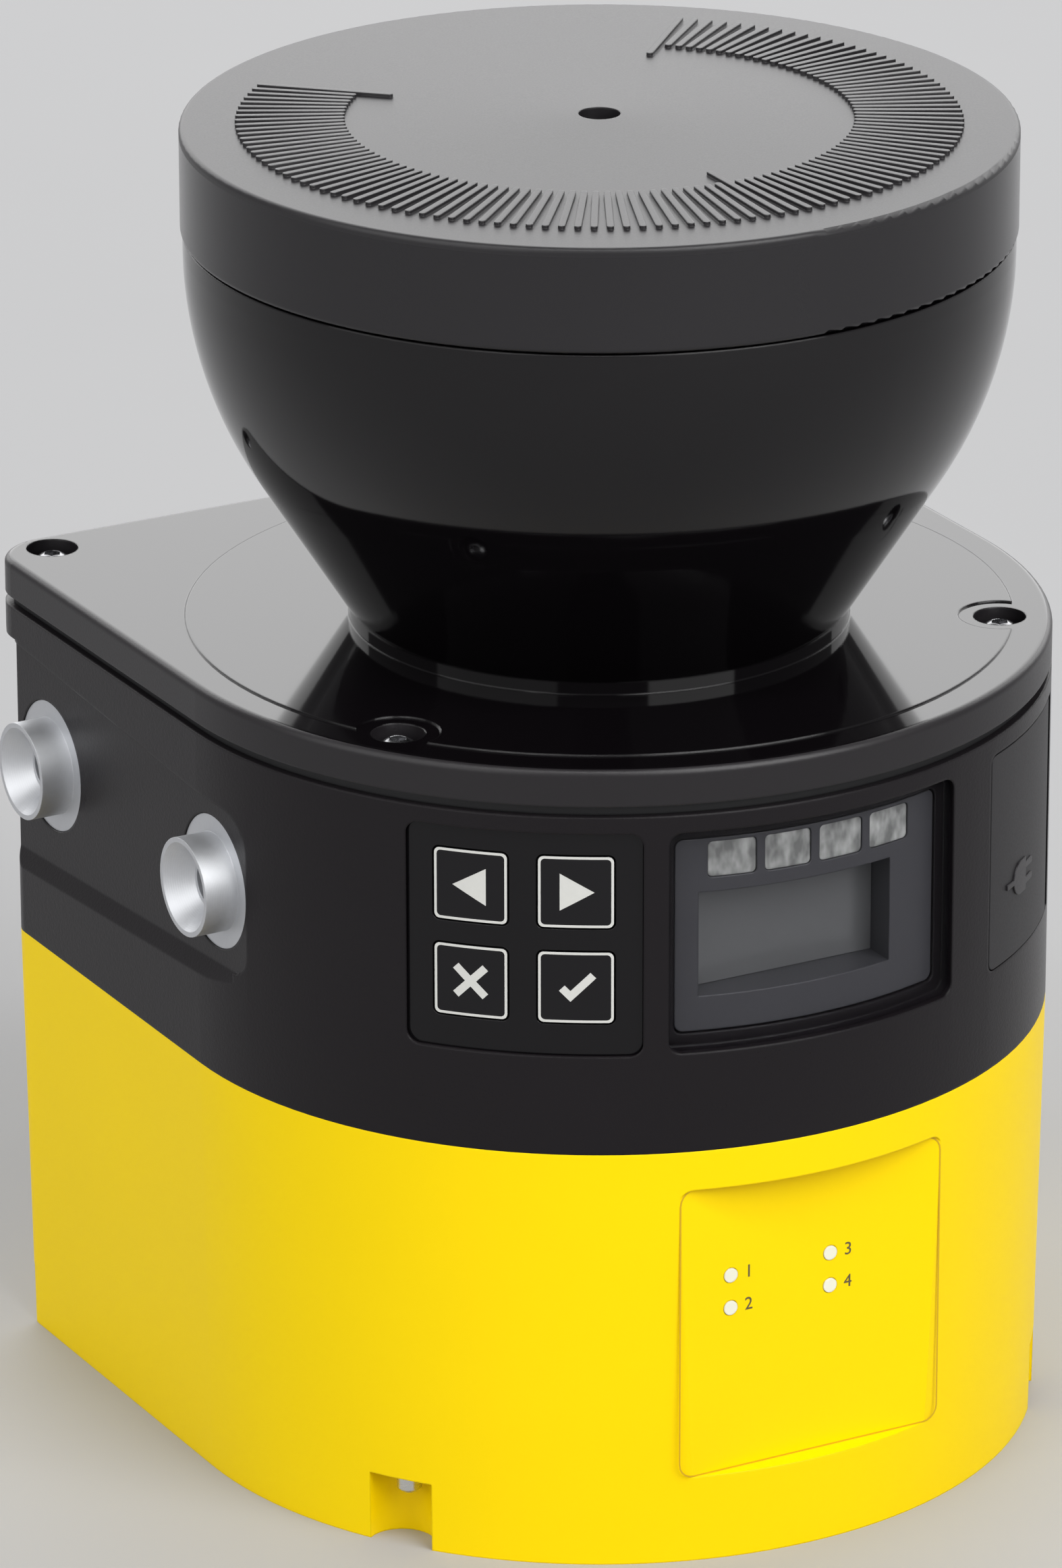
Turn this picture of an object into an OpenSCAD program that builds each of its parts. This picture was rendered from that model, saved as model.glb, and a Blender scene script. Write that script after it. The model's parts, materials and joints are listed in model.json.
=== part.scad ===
// Safety laser scanner: a rotating mirror in a dark dome, on a body with a round front.
// Millimetres, +Z up. The origin is on the dome's axis at the underside of the base.
// The front faces -Y, and azimuths are counted from the front, positive towards +X.

/* [Body] */
// Width of the body, and diameter of its round front
body_w = 109.2; // [104:0.2:132]
// Distance from the dome's axis to the back of both housings
body_back = 52.2; // [51:0.1:63]
// How far the flange overhangs the back of the housings
flange_overhang = 4.5; // [2:0.1:6]
// Height of the base housing
base_h = 53.3; // [52:0.1:64]
// Height of the upper housing
housing_h = 42.3; // [41:0.1:50]
// Gap between the upper housing and the flange, where the seal shows
seal_gap = 1.3; // [0.8:0.1:1.6]
// Thickness of the flange under the dome
flange_t = 4.5; // [4:0.1:5.5]
// Wall thickness of both cast housings
wall = 3; // [2.5:0.1:3.6]
// How much each side of the base leans in at its underside
draft = 0.8; // [0:0.1:1.2]
// Vertical corner radius at the back of the housings
body_corner = 4; // [3.5:0.1:8]
// Vertical corner radius at the back of the flange
flange_corner = 6.8; // [4:0.1:9]
// Rounding of the flange's upper edge
flange_edge = 0.9; // [0.3:0.1:1.5]

/* [Dome] */
// Radius of the neck where the dome stands on the flange
neck_r = 30.2; // [29.5:0.1:34]
// Height of the straight neck
neck_h = 1.8; // [1:0.1:3]
// Largest radius of the dome, at its rim
dome_r = 49.5; // [47:0.1:52]
// Height of the dome from the flange to its rim
dome_h = 48.6; // [46:0.1:58]
// Radius of the dome's curved flank
dome_arc = 50; // [48:0.5:56]
// Wall thickness of the dome
dome_wall = 2.5; // [2:0.1:3]
// Radius of the glossy land around the neck
land_r = 49.9; // [46:0.1:51]
// Height of the glossy land over the flange
land_h = 0.2; // [0.1:0.05:0.4]

/* [Head cap] */
// Radius of the cap
cap_r = 49.75; // [48:0.05:53]
// Height of the cap at its rim
cap_h = 12.8; // [12:0.1:17]
// Rise of the cap's top from rim to centre
cap_rise = 1; // [0:0.1:2]
// Outer radius of the ring of ribs
rib_outer_r = 42.7; // [38:0.1:45]
// Inner radius of the ring of ribs
rib_inner_r = 30.5; // [24:0.1:34]
// Inner radius of the three long ribs
long_rib_inner_r = 26.3; // [16:0.1:30]
// Width of a rib
rib_w = 0.8; // [0.5:0.05:0.9]
// Height of a rib over the cap
rib_h = 0.4; // [0.2:0.05:0.8]
// Angle between neighbouring ribs
rib_pitch = 2.5; // [2.5:0.5:10]
// Number of ribs each side of the front rib
ribs_each_side = 55; // [10:1:55]
// Diameter of the blind hole in the cap's centre
cap_hole_d = 5; // [3:0.1:7]
// Depth of that hole
cap_hole_depth = 5; // [3:0.1:6]

/* [Front panels] */
// Height of the panels' centre line over the parting line of the housings
panel_z = 26.3; // [25:0.1:28]
// Height of the keypad recess
keypad_h = 27.8; // [26:0.1:30]
// Width of the keypad recess
keypad_w = 28; // [26:0.1:29]
// Azimuth of the keypad's centre
keypad_az = -38.6; // [-41:0.1:-37.5]
// Side of a key
key_side = 8.9; // [7:0.1:10]
// Azimuth between the two columns of keys
key_step_az = 13.2; // [12:0.1:14]
// Height between the two rows of keys
key_step_z = 11.9; // [11:0.1:13]
// Travel of a key
key_travel = 0.4; // [0.2:0.05:0.6]
// Gap round each key and each fitted panel
panel_gap = 0.2; // [0.1:0.05:0.3]
// How far the panels' faces lie under the housing's surface
panel_set = 0.5; // [0.2:0.1:0.8]
// Width of the display recess
display_w = 38.4; // [36:0.1:39]
// Height of the display recess
display_h = 27.6; // [26:0.1:30]
// Thickness of the display window
window_t = 1.6; // [1:0.1:1.8]
// Width of the ledge that the display window is glued to
window_ledge = 1.6; // [1:0.1:2.4]
// Width of a service flap, and so of its recess less the gaps
flap_w = 23; // [20:0.1:24]
// Height of the service flap
flap_h = 27.2; // [24:0.1:29]
// Azimuth of the flap's centre
flap_az = 41.2; // [40:0.1:42]
// Thickness of the flap
flap_t = 2.2; // [1.6:0.1:2.2]

/* [Side collars] */
// Depth of the side pockets
pocket_depth = 1.1; // [0.6:0.1:1.4]
// Height of the collars' axes over the parting line
collar_z = 23.9; // [22:0.1:25]
// Distance of the front collars from the dome's axis, towards the front
collar_front_y = 2.1; // [-2:0.1:3]
// Distance between the front and the back collar
collar_pitch = 44; // [38:0.1:44]
// Diameter of a collar's flange
collar_flange_d = 16.4; // [14:0.1:17]
// Diameter of a collar
collar_d = 12.1; // [10:0.1:13]
// How far a collar stands out of its pocket
collar_stand = 4.1; // [2:0.1:6]
// Diameter of the threaded bore in a collar
collar_bore_d = 5; // [4:0.1:6]
// Depth of the threaded bore below the countersunk mouth
collar_bore_depth = 6; // [4:0.1:7]

/* [Base] */
// Half width of the flat status field on the front
field_half_w = 18.1; // [16:0.1:19]
// Height of the status field's lower edge
field_z0 = 11; // [10:0.1:14]
// Height of the status field
field_h = 37.3; // [34:0.1:38]
// Diameter of a link lens
link_lens_d = 1.9; // [1.2:0.1:2.4]
// Height of the notches in the bottom edge
notch_h = 8.7; // [7:0.1:9.5]
// Radius of a notch's round back wall
notch_r = 4.1; // [3.5:0.1:4.5]
// Azimuth of the notches, left and right of the front
notch_az = 55.2; // [50:0.1:57]
// Diameter of the case screws
case_screw_d = 3; // [2.5:0.1:3.5]
// Height of the step at the bottom of the back wall
heel_h = 9.2; // [7:0.1:10]
// Depth of that step
heel_in = 2.4; // [1:0.1:3]
// Width of the connector bay in the back wall
bay_w = 84; // [80:0.5:88]
// Height of the connector bay
bay_h = 24; // [22:0.1:26]
// Depth of the connector bay
bay_depth = 7; // [6:0.1:9]
// Distance between neighbouring connectors
connector_pitch = 27; // [25:0.1:28]
// Thread diameter of the round connectors
connector_d = 12; // [12:0.1:14]

/* [Optics] */
// Diameter of the tilted mirror, seen along the axis
mirror_d = 38; // [32:0.1:39]
// Height of the scan plane over the flange's top
scan_z = 26.4; // [25:0.1:27]
// Diameter of the rotor shaft
shaft_d = 6; // [5:0.1:7]
// Number of slots in the encoder disc
encoder_slots = 36; // [24:4:48]

/* [Hidden] */
$fn = 96;

// Small clearances and overlaps
fit = 0.05;         // between pieces that seat in each other
eps = 0.01;         // lets cutters run past the faces that they cut
sink = 0.2;         // lets features that are one piece with a wall grow out of it

// Levels
body_r = body_w / 2;
flange_back = body_back + flange_overhang;
parting_z = base_h;
housing_top = base_h + housing_h;
flange_z = housing_top + seal_gap;
flange_top = flange_z + flange_t;
rim_z = flange_top + dome_h;
cap_top = rim_z + cap_h;
joint_gap = 0.15;
scan_level = flange_top + scan_z;
front_z = parting_z + panel_z;

// Dome section
neck_z = flange_top + neck_h;
arc_drop = 2;
arc_c = [dome_r - dome_arc, rim_z - arc_drop];

// Cover screws: two in front of the dome's axis, two in the back corners
screw_spots = [
    for (s = [-1, 1]) [s * (body_r - 13.6), -25.4],
    for (s = [-1, 1]) [s * (body_r - 6.8), flange_back - 4.6]
];
screw_head_d = 5;
screw_head_h = 1.9;
screw_d = 3;
screw_len = 9;
screw_bore_d = 6.4;
screw_bore_h = 2.4;
scallop_r = 5;

// Side pockets, as heights over the parting line at the back and at the front
lip_z_back = 38.4;
lip_z_front = 34.8;
ledge_z_back = 8;
ledge_z_front = 12;
pocket_front_y = -10.5;
ramp_h = 2.1;
pocket_floor_x = body_r - pocket_depth;
collar_y = [-collar_front_y, collar_pitch - collar_front_y];
collar_flange_t = 2;
collar_set = 0.15;

// Front panels
panel_floor_r = body_r - 2.4;
panel_face_r = body_r - panel_set;
key_r0 = panel_floor_r + key_travel + 0.1;
key_spots = [
    [keypad_az - key_step_az / 2, front_z + 0.6 + key_step_z / 2],
    [keypad_az + key_step_az / 2, front_z + 0.6 + key_step_z / 2],
    [keypad_az - key_step_az / 2, front_z + 0.6 - key_step_z / 2],
    [keypad_az + key_step_az / 2, front_z + 0.6 - key_step_z / 2]
];
stem_d = 3;
stem_r0 = body_r - 5.6;
switch_gap = key_travel + 0.1;
panel_back_r = body_r - wall - 1.2;
key_board_r = stem_r0 - switch_gap - 1;
window_r0 = panel_face_r - window_t;
screen_w = 25.2;
screen_h = 13;
screen_x = -2.1;
screen_z = front_z - 1.2;
screen_y = -body_r + 7.6;
lens_w = 5.9;
lens_h = 4.4;
lens_z = front_z + 9.3;
lens_az = [-11.9, -4.2, 3.6, 11.4];
frame_r1 = window_r0 - 0.3;
frame_r0 = body_r - 9.5;
display_board_y = -sqrt(frame_r0 * frame_r0 - display_w * display_w / 4) + 2;
display_post_z = front_z - 14.6;
knuckle_r = flap_t / 2 - 0.1;
hinge_cut = 0.4;
hinge_az = flap_az + asin(flap_w / 2 / body_r);
hinge_r = body_r - flap_t / 2 - 0.05;
hinge_xy = [hinge_r * sin(hinge_az), -hinge_r * cos(hinge_az)];
plug_w = 9.5;
plug_h = 6.5;
plug_depth = 2.2;
usb_z = front_z;
socket_r = body_r - flap_t - plug_depth - 0.5;
socket_depth = 7;
usb_board_r = socket_r - socket_depth;

// Base
field_y = -sqrt(body_r * body_r - field_half_w * field_half_w);
link_spots = [for (x = [-10.9, 2.7]) for (z = [field_z0 + 20.9, field_z0 + 25.1]) [x, z]];
seal_out = 0.8;
seal_w = 1.2;
seal_h = 1.2;
seal_eye = 1.1;
seal_z = parting_z - seal_h / 2;
case_screw_r = body_r - 3.1;
case_screw_grip = 7;
rear_screw_spot = [body_r - 7.6, body_back - 7.6];
rear_boss_r = 5;
floor_t = 3;
floor_screw_d = 2.5;
floor_boss_r = 3.4;
floor_boss_h = 9;
bay_z0 = heel_h + 5.6;
bay_floor_y = body_back - bay_depth;
plate_t = 2;
connector_z = bay_z0 + bay_h / 2;
connector_len = bay_depth + flange_overhang - 1;
earth_spot = [bay_w / 2 - 4.5, connector_z + 7];

// Inside
deck_z = housing_top - 6.6;
deck_t = 3;
motor_h = 19;
motor_r = 19;
shaft_r = shaft_d / 2;
bearing_r = 8;
bearing_t = 4;
mirror_r = mirror_d / 2;
carrier_z0 = flange_z - 0.6;
carrier_wall = 1.6;
disc_r = 22.3;
disc_z = deck_z + deck_t + 1.2;
disc_t = 0.8;
pillar_y = neck_r - dome_wall - 4.2;
pillar_t = 2.6;
pillar_w = 13;
shelf_z = rim_z - 1.2;
shelf_t = 2;
lens_r = 20;
barrel_wall = 1.6;
barrel_h = 6;
laser_r = 4.5;
sensor_board_z = shelf_z + shelf_t + barrel_h - 1.8;
board_post_at = 26.4;
board_t = 1.6;
main_board_z = parting_z + 5;
power_board_z = parting_z - 17;
post_spots = [[-34, -20], [34, -20], [-38, 34], [38, 34]];
post_r = 3;
anchor_r = 1.25;

// ---------------------------------------------------------------- shared shapes

// The body's plan: a half circle in front, straight sides and rounded back corners
module d_plan(half_w, back, corner) {
    intersection() {
        circle(half_w);
        translate([-half_w, -half_w]) square([2 * half_w, half_w]);
    }
    translate([-half_w, 0]) square([2 * half_w, back - corner]);
    translate([corner - half_w, 0]) square([2 * (half_w - corner), back]);
    for (s = [-1, 1]) translate([s * (half_w - corner), back - corner]) circle(corner);
}

module d_plate(half_w, back, corner, z, h) {
    translate([0, 0, z]) linear_extrude(h) d_plan(half_w, back, corner);
}

// Carries a half section round the body's plan. The children draw it from x = 0 out to x = $reach.
module round_d(half_w, back, corner) {
    let ($reach = half_w) {
        rotate(180) rotate_extrude(angle = 180) children();
        for (s = [0, 1]) mirror([s, 0, 0]) translate([0, back - corner, 0])
            rotate([90, 0, 0]) linear_extrude(back - corner) children();
    }
    let ($reach = corner)
        for (s = [-1, 1]) translate([s * (half_w - corner), back - corner, 0])
            rotate_extrude() children();
    let ($reach = back)
        translate([corner - half_w, 0, 0]) rotate([90, 0, 90])
            linear_extrude(2 * (half_w - corner)) children();
}

module rounded_rect(w, h, r) {
    square([w - 2 * r, h], center = true);
    square([w, h - 2 * r], center = true);
    for (x = [-1, 1]) for (y = [-1, 1]) translate([x * (w / 2 - r), y * (h / 2 - r)]) circle(r);
}

// Outer tangent of two circles [x, y, r], on the right when going from a to b
function tangent(a, b) =
    let (d = [b.x - a.x, b.y - a.y])
    let (k = (a.z - b.z) / norm(d))
    let (m = (k * d + sqrt(1 - k * k) * [d.y, -d.x]) / norm(d))
    [[a.x, a.y] + a.z * m, [b.x, b.y] + b.z * m];

// Turn from one direction to another, counter-clockwise
function turn(u, v) = (atan2(v.y, v.x) - atan2(u.y, u.x) + 720) % 360;

// Points of a convex outline round circles [x, y, r] that are given counter-clockwise
function round_loop(spots, steps = 8) =
    let (n = len(spots))
    [
        for (i = [0:n - 1])
            let (p = spots[i])
            let (u = tangent(spots[(i + n - 1) % n], p)[1] - [p.x, p.y])
            let (v = tangent(p, spots[(i + 1) % n])[0] - [p.x, p.y])
            for (k = [0:p.z > 0 ? steps : 0])
                let (a = p.z > 0 ? atan2(u.y, u.x) + turn(u, v) * k / steps : 0)
                [p.x, p.y] + p.z * [cos(a), sin(a)]
    ];

// A rounded rectangle pushed outwards at an azimuth, from radius r0 to radius r1
module radial_block(az, z, w, h, corner, r0, r1) {
    intersection() {
        translate([0, 0, z - h]) difference() {
            cylinder(r = r1, h = 2 * h);
            translate([0, 0, -eps]) cylinder(r = r0, h = 2 * h + 2 * eps);
        }
        rotate([0, 0, az]) translate([0, 0, z]) rotate([90, 0, 0])
            linear_extrude(r1 + 1) rounded_rect(w, h, corner);
    }
}

// A round pin or hole that points outwards at an azimuth
module radial_pin(az, z, r, r0, r1) {
    rotate([0, 0, az]) translate([0, -r0, z]) rotate([90, 0, 0]) cylinder(r = r, h = r1 - r0);
}

module at_azimuth(az, r) {
    translate([r * sin(az), -r * cos(az), 0]) rotate([0, 0, az]) children();
}

// Button head screw that points down, with its head's underside at the origin
module button_screw(head_d, head_h, d, len, socket_d) {
    difference() {
        union() {
            rotate_extrude() intersection() {
                square([head_d / 2, head_h]);
                translate([0, head_h - head_d * 0.62]) circle(head_d * 0.62);
            }
            translate([0, 0, -len]) cylinder(d = d, h = len + eps);
        }
        translate([0, 0, head_h * 0.4]) cylinder(d = socket_d, h = head_h, $fn = 6);
    }
}

// ---------------------------------------------------------------- dome and cap

// Half section of the dome from the flange up, for an outer or an inner surface
module dome_section(neck, arc, top) {
    to_neck = [neck, neck_z] - arc_c;
    turn = atan2(to_neck.y, to_neck.x) + acos(arc / norm(to_neck));
    touch = arc_c + arc * [cos(turn), sin(turn)];
    translate([0, flange_z]) square([neck, neck_z - flange_z]);
    polygon([[0, neck_z], [neck, neck_z], touch, [0, touch.y]]);
    intersection() {
        translate(arc_c) circle(arc, $fn = 256);
        translate([0, touch.y]) square([dome_r + 1, arc_c.y - touch.y]);
    }
    translate([0, arc_c.y]) square([arc_c.x + arc, top - arc_c.y]);
}

module optics_cover() {
    rebate = 1.2;
    color("#17151a") difference() {
        union() {
            round_d(body_r, flange_back, flange_corner) {
                translate([0, flange_z]) square([$reach, flange_t - flange_edge]);
                translate([0, flange_z]) square([$reach - flange_edge, flange_t]);
                translate([$reach - flange_edge, flange_top - flange_edge]) circle(flange_edge);
            }
            rotate_extrude() dome_section(neck_r, dome_arc, rim_z + 2);
            difference() {
                translate([0, 0, flange_top - sink]) cylinder(r = land_r, h = sink + land_h);
                for (p = screw_spots) translate([p.x, p.y, flange_z])
                    cylinder(r = scallop_r, h = flange_t + 1);
            }
        }
        rotate_extrude() intersection() {
            union() {
                dome_section(neck_r - dome_wall, dome_arc - dome_wall, rim_z + 2);
                translate([0, flange_z - eps]) square([neck_r - dome_wall, 1]);
            }
            translate([0, flange_z - eps]) square([dome_r, rim_z - flange_z + 3]);
        }
        // The cap's skirt seats round the rim
        translate([0, 0, rim_z]) difference() {
            cylinder(r = dome_r + 5, h = 5);
            translate([0, 0, -eps]) cylinder(r = dome_r - rebate, h = 6);
        }
        for (p = screw_spots) translate([p.x, p.y, 0]) {
            translate([0, 0, flange_top - screw_bore_h]) cylinder(d = screw_bore_d, h = 4);
            translate([0, 0, flange_z - 1]) cylinder(d = screw_d + 0.4, h = flange_t);
        }
    }
}

module rib(inner_r) {
    slope = atan(cap_rise / (cap_r - 0.6));
    translate([0, 0, cap_top + cap_rise]) rotate([0, slope, 0]) translate([0, 0, -sink])
        linear_extrude(sink + rib_h) {
            translate([inner_r, -rib_w / 2]) square([rib_outer_r - inner_r, rib_w]);
            translate([inner_r, 0]) circle(d = rib_w);
            translate([rib_outer_r, 0]) circle(d = rib_w);
        }
}

module head_cap() {
    roof = 2.2;
    skirt = 2.3;
    edge = 0.6;
    z0 = rim_z + joint_gap;
    color("#1d1b1f") union() {
        difference() {
            union() {
                rotate_extrude() {
                    translate([0, z0]) square([cap_r - edge, cap_top - z0]);
                    translate([0, z0 + edge]) square([cap_r, cap_top - z0 - 2 * edge]);
                    for (z = [z0 + edge, cap_top - edge]) translate([cap_r - edge, z]) circle(edge);
                }
                translate([0, 0, cap_top]) cylinder(r1 = cap_r - edge, r2 = 0, h = cap_rise);
            }
            translate([0, 0, z0 - eps]) cylinder(r = cap_r - skirt, h = cap_h - joint_gap - roof);
            // Register that the dome's rim enters
            translate([0, 0, z0 - eps]) cylinder(r = dome_r - 1.2 + fit, h = 2 + fit);
            translate([0, 0, cap_top + cap_rise - cap_hole_depth]) cylinder(d = cap_hole_d, h = 9);
        }
        // Boss that closes the centre hole from below
        translate([0, 0, cap_top + cap_rise - cap_hole_depth - 1.5]) difference() {
            cylinder(d = cap_hole_d + 4, h = cap_hole_depth);
            translate([0, 0, 1.5]) cylinder(d = cap_hole_d, h = cap_hole_depth);
        }
        for (k = [-ribs_each_side:ribs_each_side]) rotate([0, 0, k * rib_pitch - 90])
            rib(abs(k) == ribs_each_side || k == 0 ? long_rib_inner_r : rib_inner_r);
    }
}

module cover_gasket() {
    set = 1;
    lip = 3.2;
    color("#101012") difference() {
        d_plate(body_r - set, flange_back - set, flange_corner - set, housing_top, seal_gap);
        d_plate(body_r - lip, flange_back - lip - flange_overhang, flange_corner - lip,
                housing_top - 1, seal_gap + 2);
        for (p = screw_spots) translate([p.x, p.y, housing_top - 1])
            cylinder(d = screw_d + 0.4, h = seal_gap + 2);
    }
}

module cover_screws() {
    color("#55555a") for (p = screw_spots)
        translate([p.x, p.y, flange_top - screw_bore_h])
            button_screw(screw_head_d, screw_head_h, screw_d, screw_len, 2.2);
}

// ---------------------------------------------------------------- upper housing

// What the side pocket takes away on the left. Its lower edge is a ramp.
module pocket_cut() {
    y_back = body_back + 4;
    lower = [pocket_front_y + 3, parting_z + ledge_z_front + ramp_h + 3, 3];
    behind = [y_back, parting_z + ledge_z_back + ramp_h, 0];
    edge = tangent(lower, behind);
    out = 2;
    translate([-pocket_floor_x, 0, 0]) rotate([90, 0, -90]) linear_extrude(3)
        mirror([1, 0, 0]) polygon(round_loop([
            lower, behind,
            [y_back, parting_z + lip_z_back, 0],
            [1, parting_z + lip_z_front, 0],
            [pocket_front_y + 5, parting_z + lip_z_front - 5.2, 5]
        ]));
    translate([-pocket_floor_x, edge[0].x, edge[0].y])
        rotate([atan2(edge[1].y - edge[0].y, edge[1].x - edge[0].x), 0, 0])
            rotate([-90, 0, 0]) linear_extrude(norm(edge[1] - edge[0]))
                polygon([[0, -1], [0, 0], [-out, ramp_h * out / pocket_depth], [-out, -1]]);
}

module housing() {
    boss_h = 9;
    color("#1e1c20") difference() {
        union() {
            d_plate(body_r, body_back, body_corner, parting_z, housing_h);
            // The lip under the flange, with a sloped underside at the back
            intersection() {
                d_plate(body_r, flange_back, flange_corner, parting_z, housing_h);
                rotate([90, 0, 90]) translate([0, 0, -body_r]) linear_extrude(body_w) polygon([
                    [body_back - 8, housing_top], [flange_back, housing_top],
                    [flange_back, housing_top - 1.3], [body_back, housing_top - 4],
                    [body_back - 8, housing_top - 4]
                ]);
            }
        }
        // The cavity, and what stands in it
        difference() {
            d_plate(body_r - wall, body_back - wall, 1.2, parting_z - 1, housing_h + 2);
            for (p = screw_spots) translate([p.x, p.y, housing_top - boss_h])
                cylinder(r = 4.4, h = boss_h + 2);
            for (s = [-1, 1]) {
                at_azimuth(s * notch_az, case_screw_r - 1) translate([0, 0, parting_z - 2])
                    cylinder(r = 4, h = case_screw_grip + 4);
                translate([s * rear_screw_spot.x, rear_screw_spot.y, parting_z - 2])
                    cylinder(r = rear_boss_r, h = case_screw_grip + 4);
                // Seats of the collars
                for (y = collar_y) translate([s * (pocket_floor_x - 9), y, parting_z + collar_z])
                    rotate([0, s * 90, 0]) cylinder(d = collar_flange_d + 3, h = 9);
            }
            // Backing of the front panels, and the posts that carry the boards behind them
            radial_block(keypad_az, front_z, keypad_w + 4, keypad_h + 4, 2,
                         panel_back_r, body_r - 1);
            radial_block(flap_az, front_z, flap_w + 5, flap_h + 3, 2, panel_back_r, body_r - 1);
            for (a = [-1, 1]) for (b = [-1, 1])
                radial_pin(keypad_az + a * 10.8, front_z + b * 10.6, 1.3, key_board_r,
                           panel_back_r + 1);
            rotate([0, 0, flap_az]) for (a = [-1, 1]) for (b = [-1, 1])
                translate([a * 6.2, -usb_board_r, usb_z + b * 6.2]) rotate([90, 0, 0])
                    cylinder(r = 1.3, h = panel_back_r + 1 - usb_board_r);
            for (a = [-1, 1]) translate([a * 12, display_board_y, display_post_z])
                rotate([90, 0, 0]) cylinder(r = 2, h = 13);
        }
        // Side pockets and collar seats
        for (s = [0, 1]) mirror([s, 0, 0]) {
            pocket_cut();
            for (y = collar_y) translate([-pocket_floor_x - 1, y, parting_z + collar_z])
                rotate([0, 90, 0]) {
                    cylinder(d = collar_flange_d + 2 * fit, h = 1 + collar_set + collar_flange_t);
                    cylinder(d = collar_d - 2 + 2 * fit, h = 10);
                }
        }
        // Keypad recess and stem holes
        radial_block(keypad_az, front_z, keypad_w, keypad_h, 1.6, panel_floor_r, body_r + 2);
        for (k = key_spots) radial_pin(k[0], k[1], stem_d / 2 + panel_gap, body_r - 8, body_r);
        // Display recess, its ledge and the window opening
        radial_block(0, front_z, display_w, display_h, 1.6, window_r0 - fit, body_r + 2);
        radial_block(0, front_z, display_w - 2 * window_ledge, display_h - 2 * window_ledge, 1,
                     body_r - 8, body_r);
        // Flap recess, its hinge groove and the service socket's opening
        radial_block(flap_az, front_z, flap_w + 2 * panel_gap, flap_h + 2 * panel_gap, 1.2,
                     body_r - flap_t - panel_gap, body_r + 2);
        translate([hinge_xy.x, hinge_xy.y, front_z - flap_h / 2 - panel_gap + 0.05])
            cylinder(r = knuckle_r + panel_gap + 0.1, h = flap_h + 2 * panel_gap - 0.1);
        radial_block(flap_az, usb_z, plug_w + 1.6, plug_h + 1.2, 1, body_r - 8, body_r);
        gasket_ring(fit);
        // Screw holes
        for (p = screw_spots) translate([p.x, p.y, housing_top - boss_h + 1])
            cylinder(d = screw_d, h = boss_h);
        for (s = [-1, 1]) {
            at_azimuth(s * notch_az, case_screw_r) translate([0, 0, parting_z - 1])
                cylinder(d = case_screw_d + 2 * fit, h = case_screw_grip + 1.5);
            translate([s * rear_screw_spot.x, rear_screw_spot.y, parting_z - 1])
                cylinder(d = case_screw_d + 2 * fit, h = case_screw_grip + 1.5);
        }
    }
}

module mounting_collars() {
    mouth_d = collar_d - 1.2;
    mouth_depth = 3.1;
    shank = 3.5;
    face = pocket_depth - collar_stand;
    color("#c9ccce") for (s = [0, 1]) mirror([s, 0, 0]) for (y = collar_y)
        translate([-body_r + face, y, parting_z + collar_z]) rotate([0, 90, 0]) difference() {
            rotate_extrude() {
                flange_x = collar_stand + collar_set;
                translate([0, 0]) square([collar_d / 2, flange_x + 1]);
                translate([0, flange_x]) square([collar_flange_d / 2, collar_flange_t - fit]);
                translate([0, flange_x]) square([collar_d / 2 - 1, collar_flange_t + shank]);
            }
            translate([0, 0, -eps]) cylinder(d1 = mouth_d, d2 = collar_bore_d + 1, h = mouth_depth);
            cylinder(d = collar_bore_d, h = mouth_depth + collar_bore_depth);
        }
}

module keypad_panel() {
    color("#0c0b0e") difference() {
        radial_block(keypad_az, front_z, keypad_w - 2 * fit, keypad_h - 2 * fit, 1.6 - fit,
                     panel_floor_r, panel_face_r);
        for (k = key_spots) radial_block(k[0], k[1], key_side + 2 * panel_gap,
            key_side + 2 * panel_gap, 0.7 + panel_gap, body_r - 8, body_r);
    }
}

module key(i) {
    k = key_spots[i];
    color("#141216") {
        radial_block(k[0], k[1], key_side, key_side, 0.7, key_r0, panel_face_r);
        radial_pin(k[0], k[1], stem_d / 2, stem_r0, key_r0 + sink);
    }
}

module key_left() { key(0); }
module key_right() { key(1); }
module key_back() { key(2); }
module key_confirm() { key(3); }

// Small board behind the keypad, with a dome switch behind each key's stem
module key_board() {
    color("#1c5c3a") {
        radial_block(keypad_az, front_z, keypad_w - 5, keypad_h - 3, 1, key_board_r - board_t,
                     key_board_r);
        for (k = key_spots)
            radial_pin(k[0], k[1], 2.2, key_board_r - sink, stem_r0 - switch_gap);
    }
}

module display_window() {
    color("#39403f", 0.45) radial_block(0, front_z, display_w - 2 * panel_gap,
        display_h - 2 * panel_gap, 1.6 - panel_gap, window_r0, panel_face_r);
}

// Frame behind the window, with the screen's sunk opening and four cells for the lenses
module display_module() {
    w = display_w - 2 * window_ledge - 2 * panel_gap;
    h = display_h - 2 * window_ledge - 2 * panel_gap;
    color("#5a5f60") difference() {
        radial_block(0, front_z, w, h, 1, frame_r0, frame_r1);
        // The screen's opening, level at the back
        translate([screen_x - screen_w / 2, -body_r, screen_z - screen_h / 2])
            cube([screen_w, -screen_y - frame_r0 + body_r + 12, screen_h]);
        for (a = lens_az) radial_block(a, lens_z, lens_w + 2 * fit, lens_h + 2 * fit, 0.6,
            frame_r1 - 3, body_r);
        // Room behind the frame
        radial_block(0, front_z, w - 3, h - 3, 1, frame_r0 - 1, frame_r0 + 1.2);
    }
    // Feet that stand on the board
    color("#5a5f60") for (s = [-1, 1]) translate([s * (w / 2 - 0.8) - 0.6, -frame_r0 + 1.8,
        front_z - h / 2 + 2]) cube([1.2, frame_r0 - 1.8 + display_board_y, h - 6]);
}

module screen() {
    color("#7c8682") translate([screen_x - screen_w / 2 + fit, screen_y, screen_z
        - screen_h / 2 + fit]) cube([screen_w - 2 * fit, 1.5, screen_h - 2 * fit]);
}

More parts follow.
